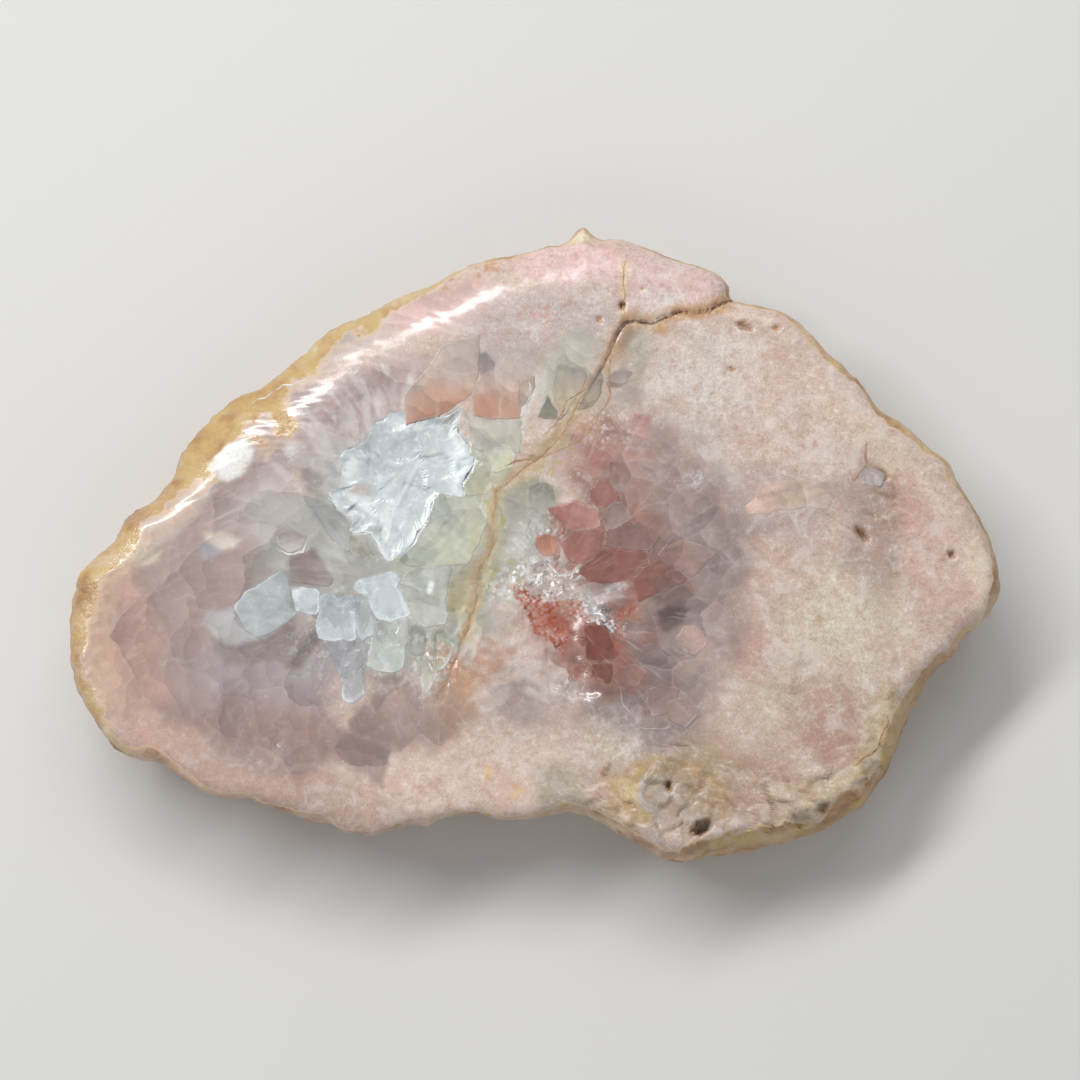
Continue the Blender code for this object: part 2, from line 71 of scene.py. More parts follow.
def linear(hex_colour: str) -> np.ndarray:
    """Turns an sRGB hex colour into linear red, green and blue.

    Args:
        hex_colour: six hex digits.

    Returns:
        Three linear values from 0 to 1.
    """
    coded = np.array([int(hex_colour[at:at + 2], 16) / 255.0 for at in (0, 2, 4)])
    return np.where(coded <= 0.04045, coded / 12.92, ((coded + 0.055) / 1.055) ** 2.4)


def ease(values: np.ndarray, low: float, high: float) -> np.ndarray:
    """A smooth step: 0 at low, 1 at high, level at both ends.

    Args:
        values: any array.
        low: the value where the step starts.
        high: the value where it ends, which may be the smaller one.

    Returns:
        The step's height at each value.
    """
    share = np.clip((values - low) / (high - low), 0.0, 1.0)
    return share * share * (3.0 - 2.0 * share)


def scramble(cells: np.ndarray, seed: int) -> np.ndarray:
    """A repeatable random number from 0 to 1 for each lattice cell, by mixing its integers.

    Args:
        cells: integer cell places, one row each.
        seed: picks one of many such lattices.

    Returns:
        One number for each row.
    """
    primes = np.array([73856093, 19349663, 83492791], dtype=np.int64)[: cells.shape[1]]
    mixed = np.bitwise_xor.reduce(cells.astype(np.int64) * primes, axis=1) ^ (seed * 40503)
    mixed = mixed & 0xFFFFFF
    for shift, factor in ((11, 0x2C1B3C), (13, 0x297A2D), (9, 0x1D8AF0)):
        mixed = ((mixed ^ (mixed >> shift)) * (factor | 1)) & 0xFFFFFFFF
    return (mixed ^ (mixed >> 15)) % 65521 / 65520.0


def cloud(places: np.ndarray, size: float, seed: int, octaves: int = 2) -> np.ndarray:
    """Value noise: random numbers on a lattice, blended between its corners by a smooth step.

    Each octave halves the size and the strength of the one before.

    Args:
        places: points in millimetres, one row each, of two or three values.
        size: lattice spacing in millimetres.
        seed: picks the lattice.
        octaves: how many sizes are added.

    Returns:
        One value for each place, mostly from -1 to 1.
    """
    total = np.zeros(len(places))
    strength = 1.0
    weight = 0.0
    corners = np.array(np.meshgrid(*[(0, 1)] * places.shape[1])).T.reshape(-1, places.shape[1])
    for octave in range(octaves):
        spots = places / size * 2.0**octave
        base = np.floor(spots).astype(np.int64)
        share = spots - base
        share = share * share * (3.0 - 2.0 * share)
        value = np.zeros(len(places))
        for corner in corners:
            blend = np.prod(np.where(corner, share, 1.0 - share), axis=1)
            value += blend * scramble(base + corner, seed + 17 * octave)
        total += strength * (value * 2.0 - 1.0)
        weight += strength
        strength *= 0.5
    return total / weight * 1.35


def swirl(places: np.ndarray, size: float, seeds: tuple[int, int], octaves: int = 2) -> np.ndarray:
    """Two clouds side by side, which push places about in the plane."""
    return np.stack([cloud(places, size, seed, octaves) for seed in seeds], axis=1)


def lay(canvas: np.ndarray, hue: str | np.ndarray, cover: np.ndarray,
        rows: np.ndarray | slice = slice(None)) -> None:
    """Blends a hue into the canvas where it covers, in place."""
    colour = linear(hue) if isinstance(hue, str) else hue
    canvas[rows] += (colour - canvas[rows]) * np.clip(cover, 0.0, 1.0)[:, None]


# ---------------------------------------------------------------- plane geometry


def heading(degrees: float) -> np.ndarray:
    """The unit vector that points so many degrees from +X towards +Y."""
    return np.array([math.cos(math.radians(degrees)), math.sin(math.radians(degrees))])


def ellipse_reach(places: np.ndarray, centre: Spot, radii: Spot, turn: float) -> np.ndarray:
    """How far out in a turned ellipse each place is: 0 at its centre, 1 on its border."""
    cosine, sine = heading(turn)
    x, y = (places - centre).T
    return np.hypot((x * cosine + y * sine) / radii[0], (y * cosine - x * sine) / radii[1])


def rows_near(places: np.ndarray, corners: np.ndarray, reach: float) -> np.ndarray:
    """The rows of places that lie less than reach outside the corners' box."""
    low, high = corners.min(axis=0) - reach, corners.max(axis=0) + reach
    return np.flatnonzero(np.all((places > low) & (places < high), axis=1))


def even_steps(knots: np.ndarray, spacing: float) -> tuple[np.ndarray, np.ndarray]:
    """Walks a path in even steps: the lengths walked, and the places there."""
    walked = np.concatenate([[0.0], np.cumsum(np.hypot(*np.diff(knots, axis=0).T))])
    steps = np.arange(0.0, walked[-1], spacing)
    return steps, np.column_stack([np.interp(steps, walked, axis) for axis in knots.T])


def closed_curve(points: tuple[Spot, ...], steps: int = 10) -> np.ndarray:
    """A closed Catmull-Rom curve: between two points it bends by the points next to them.

    Args:
        points: the corners of the outline, in order.
        steps: how many places are read between two corners.

    Returns:
        The curve's places, one row each.
    """
    knots = np.array(points)
    share = np.linspace(0.0, 1.0, steps, endpoint=False)[None, :, None]
    before, start = np.roll(knots, 1, axis=0)[:, None, :], knots[:, None, :]
    end, after = np.roll(knots, -1, axis=0)[:, None, :], np.roll(knots, -2, axis=0)[:, None, :]
    dense = 0.5 * (
        2.0 * start
        + (end - before) * share
        + (2.0 * before - 5.0 * start + 4.0 * end - after) * share**2
        + (3.0 * start - before - 3.0 * end + after) * share**3
    )
    return dense.reshape(-1, 2)


@dataclass(frozen=True)
class PathReading:
    """Where places lie along a path: how far off it, on which side, and how far along."""

    gap: np.ndarray
    side: np.ndarray
    along: np.ndarray


def read_path(places: np.ndarray, path: np.ndarray, closed: bool = False) -> PathReading:
    """The nearest point of a path: each place is dropped onto every straight piece of it.

    Args:
        places: points in millimetres.
        path: the path's corners.
        closed: True joins the last corner to the first.

    Returns:
        The distance, the side (1 is left) and the share of the path's length.
    """
    ends = np.roll(path, -1, axis=0) if closed else path[1:]
    starts = path if closed else path[:-1]
    along = ends - starts
    lengths = np.hypot(along[:, 0], along[:, 1])
    walked = np.concatenate([[0.0], np.cumsum(lengths)[:-1]])
    parts = []
    for block in np.array_split(places, max(1, len(places) * len(starts) // 3_000_000)):
        offset = block[:, None, :] - starts[None, :, :]
        share = np.clip((offset * along).sum(axis=2) / lengths**2, 0.0, 1.0)
        away = offset - share[:, :, None] * along
        gaps = np.hypot(away[:, :, 0], away[:, :, 1])
        nearest = gaps.argmin(axis=1)
        rows = np.arange(len(block))
        cross = along[nearest, 0] * offset[rows, nearest, 1]
        cross -= along[nearest, 1] * offset[rows, nearest, 0]
        place = (walked[nearest] + share[rows, nearest] * lengths[nearest]) / lengths.sum()
        parts.append(np.stack([gaps[rows, nearest], np.sign(cross), place]))
    return PathReading(*np.concatenate(parts, axis=1))


def depth_inside(places: np.ndarray, corners: np.ndarray) -> np.ndarray:
    """How far inside a polygon each place is: its distance to the border, minus when outside.

    Args:
        places: points in millimetres.
        corners: the polygon's corners, in order.

    Returns:
        A signed distance for each place.
    """
    following = np.roll(corners, -1, axis=0)
    x, y = places[:, 0][:, None], places[:, 1][:, None]
    rise = following[:, 1] - corners[:, 1]
    rise = np.where(np.abs(rise) < 1e-9, 1e-9, rise)
    crossing = corners[:, 0] + (y - corners[:, 1]) / rise * (following[:, 0] - corners[:, 0])
    spans = (corners[:, 1] > y) != (following[:, 1] > y)
    odd = (spans & (x < crossing)).sum(axis=1) % 2 == 1
    gap = read_path(places, corners, closed=True).gap
    return np.where(odd, gap, -gap)


@dataclass(frozen=True)
class CellReading:
    """What a mosaic says of each place: how near its cell's border is, and how its cell slopes."""

    border: np.ndarray
    slope: np.ndarray


def read_cells(places: np.ndarray, size: float, seed: int, warp: float = 0.25) -> CellReading:
    """A mosaic of crystals: one seed in each lattice square, each place goes to its nearest seed.

    The places are first pushed about by noise, so that the borders aren't quite straight. Each
    cell leans its own way, as a plane through its seed.

    Args:
        places: points in millimetres.
        size: the mean width of a crystal.
        seed: picks the mosaic.
        warp: how far the borders wander, as a share of the size.

    Returns:
        Border distance and height of the leaning plane, in millimetres.
    """
    spots = (places + swirl(places, size * 0.8, (seed + 3, seed + 5)) * warp * size) / size
    base = np.floor(spots).astype(np.int64)
    nearest, second = np.full((2, len(places)), 9.0)
    offset, owner = np.zeros(spots.shape), np.zeros(spots.shape, dtype=np.int64)
    for step in ((x, y) for x in (-1, 0, 1) for y in (-1, 0, 1)):
        cell = base + step
        jitter = np.stack([scramble(cell, seed), scramble(cell, seed + 1)], axis=1)
        away = spots - (cell + 0.1 + 0.8 * jitter)
        gap = np.hypot(away[:, 0], away[:, 1])
        closer = gap < nearest
        second = np.where(closer, nearest, np.minimum(second, gap))
        nearest = np.where(closer, gap, nearest)
        offset = np.where(closer[:, None], away, offset)
        owner = np.where(closer[:, None], cell, owner)
    turn = scramble(owner, seed + 7) * 2.0 * math.pi
    lean = np.stack([np.cos(turn), np.sin(turn)], axis=1)
    return CellReading((second - nearest) * size * 0.5, (offset * size * lean).sum(axis=1))


# ---------------------------------------------------------------- the rim


@dataclass
class Rim:
    """The widest contour of the stone, and how its shoulder and its side run round it.

    The outline goes clockwise from the left end. In the table each row is a direction from the
    heart in degrees, the shoulder's width and drop, how far the foot of the side is drawn in,
    the width of the rind on the face, and how ochre the rind is.
    """

    heart: Spot = (-7.0, -4.5)
    outline: tuple[Spot, ...] = (
        (-58, -15.5), (-58, -11.5), (-57.5, -5.5), (-56, -3), (-53, -0.5), (-51.5, 2.5),
        (-48.5, 4.5), (-46, 7.5), (-45, 10.5), (-43.5, 13), (-39.5, 17), (-37.5, 18.5), (-35, 19.5),
        (-32.5, 21.5), (-29.5, 24), (-27, 26.5), (-23, 28.5), (-19, 30.5), (-16, 32), (-12, 33.5),
        (-7, 36), (-1.5, 37), (2, 38), (3.8, 38.5), (6, 40.5), (7.7, 39), (11.5, 38.5),
        (16.5, 36.5), (21, 34.8), (22.7, 34.3), (23.8, 33.3), (24.4, 32.2), (24.6, 30.6),
        (26.5, 30), (29, 29.5), (32.5, 28), (36, 24.5), (40, 20.5), (43.5, 16), (46.5, 14),
        (51.5, 9.5), (53.5, 6), (56, 2), (57.5, -2), (58, -5.5), (57.8, -7.5), (56, -10.5),
        (53.5, -12.5), (52.5, -14.5), (49.5, -17), (47, -21), (45, -26.5), (41.5, -32.5),
        (39, -34.5), (35.5, -36.5), (32.5, -37.5), (28, -38.5), (25.5, -39), (21.5, -39.5),
        (19, -40.5), (15.5, -40), (12.5, -38.5), (8, -35.5), (4.5, -34.5), (0, -35.5),
        (-4.5, -35.5), (-9, -35), (-13, -36), (-17, -36.5), (-20, -37.5), (-23.5, -37),
        (-26.5, -35.5), (-30.5, -35), (-34, -33.5), (-37.5, -33), (-41.5, -32), (-46, -29),
        (-50.5, -27.5), (-53.5, -25), (-56, -21.5), (-57.5, -18),
    )
    table: tuple[tuple[float, ...], ...] = (
        (-170, 3, 2.4, 2.6, 2, 0.75), (-155, 2.2, 2, 3, 1.2, 0.5), (-140, 2, 1.6, 3.2, 0.5, 0.25),
        (-110, 1.8, 1.4, 3.4, 0.3, 0.1), (-85, 1.8, 1.6, 3, 0.4, 0.3), (-62, 1.8, 3, 2.6, 0.7, 0.5),
        (-40, 3, 7.5, 0.8, 1.8, 0.85), (-22, 3, 7, 0.8, 1.5, 0.8), (-8, 2.4, 3, 2, 0.7, 0.5),
        (20, 2.6, 2, 2.4, 0.9, 0.6), (40, 2.4, 2, 2.4, 0.7, 0.5), (55, 4, 3, 2.8, 0.4, 0.3),
        (75, 8, 4.4, 3, 0.5, 0.3), (100, 9, 5, 3.2, 1, 0.7), (112, 9.4, 5, 3.2, 2, 0.9),
        (135, 9.2, 5.2, 3.4, 2.6, 0.95), (143, 9, 5.2, 3.4, 5.4, 1), (156, 7.6, 5, 3.4, 6, 1),
        (163, 6, 4.2, 3.2, 3, 0.9), (172, 4.2, 3.2, 2.8, 2, 0.85), (180, 3.6, 3, 2.6, 2, 0.85),
    )
    fray: float = 0.22
    curve: np.ndarray = field(init=False)

    def __post_init__(self) -> None:
        """Reads the outline as a closed curve, frayed by noise as broken rock is."""
        curve = closed_curve(self.outline)
        self.curve = curve + self.fray * swirl(curve, 1.7, (21, 23), 3)

    def directions(self, places: np.ndarray) -> np.ndarray:
        """The direction of each place from the heart, in degrees."""
        return np.degrees(np.arctan2(places[:, 1] - self.heart[1], places[:, 0] - self.heart[0]))

    def reach(self, directions: np.ndarray, softness: int = 0) -> np.ndarray:
        """How far the rim is from the heart in each direction.

        Args:
            directions: degrees.
            softness: how many of the curve's points on each side are averaged.

        Returns:
            Distances in millimetres.
        """
        lengths = np.hypot(self.curve[:, 0] - self.heart[0], self.curve[:, 1] - self.heart[1])
        if softness:
            rolls = range(-softness, softness + 1)
            lengths = np.mean([np.roll(lengths, shift) for shift in rolls], axis=0)
        return np.interp(directions, self.directions(self.curve), lengths, period=360.0)

    def column(self, directions: np.ndarray, name: str) -> np.ndarray:
        """A column of the table read in each direction, straight between its rows."""
        names = ("width", "drop", "foot", "rind", "iron")
        rows = np.array(self.table)
        return np.interp(directions, rows[:, 0], rows[:, 1 + names.index(name)], period=360.0)


# ---------------------------------------------------------------- marks on the face


@dataclass(frozen=True)
class Wash:
    """A soft-edged field of one colour: an ellipse whose border is pushed about by noise.

    Centre and radii are in millimetres, turn in degrees. Blur is the share of the radius over
    which it fades. Chalk is 0 for clear glassy quartz and 1 for chalky quartz.
    """

    centre: Spot
    radii: Spot
    turn: float
    blur: float
    hue: str
    strength: float
    chalk: float = 0.0

    def cover(self, places: np.ndarray, push: np.ndarray) -> np.ndarray:
        """How strongly the field colours each place, from 0 to its strength."""
        reach = ellipse_reach(places, self.centre, self.radii, self.turn) + push * 0.4
        return self.strength * ease(reach, 1.0 + self.blur * 0.6, 1.0 - self.blur * 0.7)


def strewn(places: np.ndarray, beds: Beds, blur: float, push: np.ndarray) -> np.ndarray:
    """How thickly each place is strewn: the strongest of several soft ellipses.

    Args:
        places: points in millimetres.
        beds: x, y, half length, half width, turn and strength of each ellipse.
        blur: the share of the radius over which they fade.
        push: noise that pushes their borders about.

    Returns:
        One number from 0 to 1 for each place.
    """
    share = np.zeros(len(places))
    for x, y, length, width, turn, strength in beds:
        bed = Wash((x, y), (length, width), turn, blur, "FFFFFF", strength)
        np.maximum(share, bed.cover(places, push), out=share)
    return share


@dataclass(frozen=True)
class Shard:
    """One crystal cut by the polish: a sharp-edged polygon with a pale border.

    The hue runs to the far hue along flow, in degrees. Rim is the strength of the pale border,
    a painted highlight over the crystal's own pale edge, brightest at the far end. Sunk is how
    far in millimetres its top lies below the polish, chalk is as in a wash and frost is how icy
    it looks. Inner are fields inside it, and creases are marks along paths inside it.
    """

    corners: tuple[Spot, ...]
    hue: str
    far: str
    flow: float = -90.0
    rim: float = 0.35
    sunk: float = 0.0
    chalk: float = 0.1
    frost: float = 0.0
    inner: tuple[Wash, ...] = ()
    creases: tuple["Line", ...] = ()

    @property
    def is_crisp(self) -> bool:
        """A crystal with hardly a border is only a soft field of colour in the stone."""
        return self.rim >= 0.3

    def run(self, places: np.ndarray) -> tuple[np.ndarray, np.ndarray, float]:
        """How far along and across its flow each place is, and the crystal's own reach."""
        corners, ahead = np.array(self.corners), heading(self.flow)
        middle = corners.mean(axis=0)
        reach = np.abs((corners - middle) @ ahead).max()
        return (places - middle) @ ahead, (places - middle) @ (-ahead[1], ahead[0]), reach

    def blend(self, share: np.ndarray) -> np.ndarray:
        """The hue at -1, the far hue at 1, and their blend between."""
        share = ease(share, -1.0, 1.0)[:, None]
        return linear(self.hue) * (1.0 - share) + linear(self.far) * share


@dataclass(frozen=True)
class Line:
    """A thin mark along a path: a stained vein, a hair crack or a pale fracture.

    Some are painted: bright lines stand for highlights, and the dark lines in the crack partly
    for shade. Chalk is as in a wash: the higher it is, the less the mark shines.
    """

    path: tuple[Spot, ...]
    width: float
    hue: str
    strength: float
    ragged: float = 0.5
    wander: float = 0.42
    chalk: float = 0.5

    @property
    def is_soft(self) -> bool:
        """A broad mark is a stain in the stone, and a narrow one a vein with its own edges."""
        return self.width >= 0.6


@dataclass(frozen=True)
class Grains:
    """A patch strewn with grains: noise above a threshold inside a soft ellipse."""

    centre: Spot
    radii: Spot
    turn: float
    hue: str
    strength: float
    size: float
    share: float


WASHES: dict[str, Wash] = {
    "translucent_body": Wash((-38.5, -11), (19, 24), 0, 0.35, "A8938D", 1, 0.15),
    "salmon_edge": Wash((-51, -16), (5, 13), 10, 0.6, "BC988D", 0.8, 0.3),
    "lavender_core": Wash((-33.5, -17), (9.5, 6.5), 0, 0.6, "A79A9D", 0.8, 0.1),
    "mauve_shoulder": Wash((-26, 14), (14, 5.5), 27, 0.5, "AB9692", 0.9, 0.1),
    "low_body": Wash((-30.5, -27), (14, 5.5), -10, 0.6, "9B8079", 0.8, 0.3),
    "low_fringe": Wash((-39.5, -30.5), (19, 3.5), -24, 0.6, "BFA094", 0.9, 0.6),
    "foot_fringe": Wash((-18, -33.5), (16, 4), 0, 0.6, "B5988C", 0.9, 0.7),
    "grey_glass": Wash((-17, -3.5), (16, 15), -20, 0.45, "ADADA6", 0.9, 0),
    "sage_glass": Wash((-9.5, 1.5), (7, 11.5), 0, 0.5, "BCBCA8", 0.9, 0),
    "warm_strip": Wash((-23.5, 26), (11, 3.2), 29, 0.5, "CABAB2", 0.9, 0.15),
    "rose_strip": Wash((-11, 28.5), (8, 3.5), 22, 0.5, "D0AFA8", 0.9, 0.3),
    "sugar_top": Wash((1, 26.5), (10.5, 5.5), 5, 0.5, "BFAFAA", 0.9, 0.9),
    "rose_top": Wash((5, 35), (9, 3), 0, 0.5, "DAB8B4", 0.9, 0.8),
    "upper_lobe": Wash((16.5, 32), (8, 4), -18, 0.5, "D6BAB5", 0.9, 0.9),
    "white_lobe": Wash((16.5, 29.5), (3.5, 1.5), -15, 0.7, "D6CCC8", 0.8, 1),
    "sage_crack": Wash((4.5, 20.5), (4.2, 6), -25, 0.5, "AFAB9D", 0.85, 0.2),
    "right_white": Wash((21, 17), (8, 8.5), -20, 0.6, "CFC4BA", 0.9, 1),
    "crack_white": Wash((12.4, 22.6), (2.4, 4.4), -15, 0.6, "ADA597", 0.9, 0.8),
    "right_beige": Wash((33, 14.5), (9.5, 11), -35, 0.6, "D0B8AC", 0.6, 1),
    "right_grey": Wash((28, 4), (11, 5.5), -15, 0.8, "B09F98", 0.75, 0.9),
    "right_brown": Wash((43, 5.5), (3.2, 6.5), 8, 0.7, "B0968A", 0.8, 0.8),
    "right_rim_cream": Wash((42, 12), (11, 2), -42, 0.7, "D3BFA8", 0.7, 0.9),
    "brown_band": Wash((43, -6.5), (1.8, 8), 3, 0.7, "A8948A", 0.75, 0.6),
    "peach_band": Wash((47.5, -1), (2, 9), 8, 0.8, "C29C8C", 0.75, 0.8),
    "far_right": Wash((51.5, -4.5), (5, 7.5), 10, 0.6, "CBAC9F", 0.7, 0.9),
    "far_right_cream": Wash((56, -7), (2, 7.5), 8, 0.7, "DCC8AF", 0.7, 0.8),
    "cream_field": Wash((38, -12.5), (8, 7), 40, 1, "D2C6AE", 0.9, 1),
    "cream_spot": Wash((31, -20.5), (4.5, 4), 0, 0.7, "C9BA9E", 0.8, 1),
    "rose_spot": Wash((26, -14.5), (3, 3.2), 0, 0.8, "C6A296", 0.8, 0.9),
    "rose_field": Wash((37, -24.5), (5.5, 4.5), 0, 0.9, "AC8674", 0.8, 0.9),
    "rose_foot": Wash((27.5, -32), (7.5, 4.5), 0, 0.7, "B29480", 0.8, 0.9),
    "peach_field": Wash((25.5, -4.5), (7.5, 5), 0, 0.7, "C6A798", 0.7, 0.9),
    "mauve_ring": Wash((18, -7), (7.6, 15), -10, 0.65, "94827E", 0.95, 0.2),
    "mauve_top": Wash((14, 8), (7, 8.5), 0, 0.7, "A38C86", 0.9, 0.25),
    "mauve_low": Wash((14, -21), (7.5, 6), 10, 0.7, "93807B", 0.9, 0.25),
    "foot_rose": Wash((-7, -31), (16, 6.5), 0, 0.5, "D4BBAD", 0.9, 0.8),
    "foot_lilac": Wash((-1.2, -20.6), (6.5, 4.2), 0, 0.6, "A08F8B", 0.8, 0.3),
    "foot_tan": Wash((-10.2, -20.8), (3.6, 5.4), -10, 0.6, "B08F78", 0.85, 0.2),
    "foot_mauve": Wash((-17, -22.5), (6, 4.5), 0, 0.5, "A08A84", 0.9, 0.2),
    "grey_green": Wash((4.2, -31.8), (3.8, 3.2), 0, 0.6, "A79D8B", 0.95, 0.7),
    "pale_foot": Wash((8, -29.5), (4, 5), 0, 0.6, "C3B3A0", 0.7, 0.9),
    "ochre_foot": Wash((11, -33.5), (3, 4), -30, 0.7, "BCA076", 0.8, 0.8),
    "grey_lobe": Wash((17.5, -33.5), (5, 4.5), 0, 0.5, "A89C90", 0.9, 0.8),
    "ochre_lobe": Wash((21, -30.4), (4.5, 4), 35, 0.7, "AC957A", 0.85, 0.8),
    "right_low": Wash((32.5, -33.5), (6, 3), 20, 0.6, "BEA892", 0.8, 0.9),
    "yellow_low": Wash((38, -33.5), (5, 3), 30, 0.6, "CAB794", 0.7, 0.9),
    "yellow_right": Wash((42.5, -26), (2.6, 7), -12, 0.6, "C1AD88", 0.85, 0.9),
    "red_core": Wash((10.2, -1.6), (6.6, 6), -20, 0.55, "946F67", 0.9, 0.1),
    "red_top": Wash((7.5, 10), (5, 5.5), 0, 0.6, "AF8C82", 0.9, 0.2),
    "rust_low": Wash((3, -12), (6, 4.5), -45, 0.5, "9C6455", 0.9, 0.3),
    "rust_strip": Wash((1.6, -10.2), (5, 1.5), -47, 0.6, "A4533E", 0.85, 0.3),
    "red_foot": Wash((12, -13), (5, 3.5), 10, 0.6, "8B716B", 0.9, 0.1),
    "dusk_side": Wash((14.5, -18), (4, 3.5), 0, 0.6, "87736E", 0.85, 0.1),
    "knob_cream": Wash((6, 39.4), (2.2, 1.5), 0, 0.7, "E0D6AC", 0.95, 0.9),
    "olive_spot": Wash((31.9, -19.4), (0.6, 1.3), -20, 0.6, "9C8B5C", 0.8, 0.9),
    "grey_block": Wash((43.9, -3.5), (1, 0.7), 0, 0.4, "8F857E", 0.8, 0.6),
    "junction_brown": Wash((8.2, 20.4), (0.9, 4), -28, 0.7, "A58E70", 0.6, 0.5),
    "cloud_bright": Wash((-33.8, -7.6), (2.6, 2), 25, 0.8, "B9BDBD", 0.7, 0),
    "cloud_low": Wash((-36, -12.2), (4.2, 2.2), 10, 0.7, "B4B3B2", 0.8, 0),
    "haze_left": Wash((-34, 3), (5, 3.5), 30, 0.9, "C2BAB9", 0.6, 0),
    "pale_glare": Wash((-45, 3.2), (7, 2), 45, 0.8, "CFC7C2", 0.75, 0.3),
    "gold_pit": Wash((-0.4, 9.5), (0.7, 0.6), 0, 0.6, "8A7745", 0.9, 0.3),
    "slip_grey": Wash((-3, 21.6), (3.2, 2.8), 0, 0.7, "AFA19A", 0.8, 0.3),
    "low_rose": Wash((33.5, -18.5), (5, 4.5), 20, 0.9, "B99E8E", 0.7, 0.9),
    "right_dusk": Wash((41.5, -1.5), (3.5, 6), 5, 0.8, "A8938A", 0.75, 0.8),
    "crack_shade": Wash((10.9, 25), (1.2, 3.4), -25, 0.8, "927A64", 0.85, 0.5),
    "slot_grey": Wash((7.9, 19.8), (1.2, 2.8), -30, 0.6, "9F9288", 0.8, 0.3),
    "slot_dusk": Wash((11.4, 17.4), (2.8, 2.4), 0, 0.8, "A39A93", 0.7, 0.5),
    "slot_tan": Wash((8.6, 16.2), (1.5, 1.8), 0, 0.7, "B5A291", 0.7, 0.4),
    "peach_slot": Wash((6.2, 13.7), (1.8, 1.5), 0, 0.8, "BD9C86", 0.75, 0.3),
    "crack_ochre": Wash((15.5, 26.3), (1.3, 0.8), -20, 0.7, "BD9160", 0.8, 0.8),
    "wine_low": Wash((9, -18.8), (2.4, 1.8), 0, 0.7, "83584D", 0.85, 0.1),
    "root_pale": Wash((-7.8, -12.9), (1.7, 1.8), 0, 0.7, "BEB4A8", 0.9, 0.3),
    "cream_low": Wash((30, -32.3), (2, 1.4), 0, 0.6, "CFBEA6", 0.85, 0.9),
    "peach_far": Wash((37, 4.8), (3.2, 2.4), 10, 0.7, "B09A8F", 0.8, 0.7),
    "peach_shade": Wash((27.8, 0.6), (3.2, 1), 8, 0.8, "9C8A86", 0.6, 0.5),
    "sparkle_bed": Wash((1, -6.5), (5, 4), -10, 0.6, "BAAFA8", 0.8, 0.3),
}

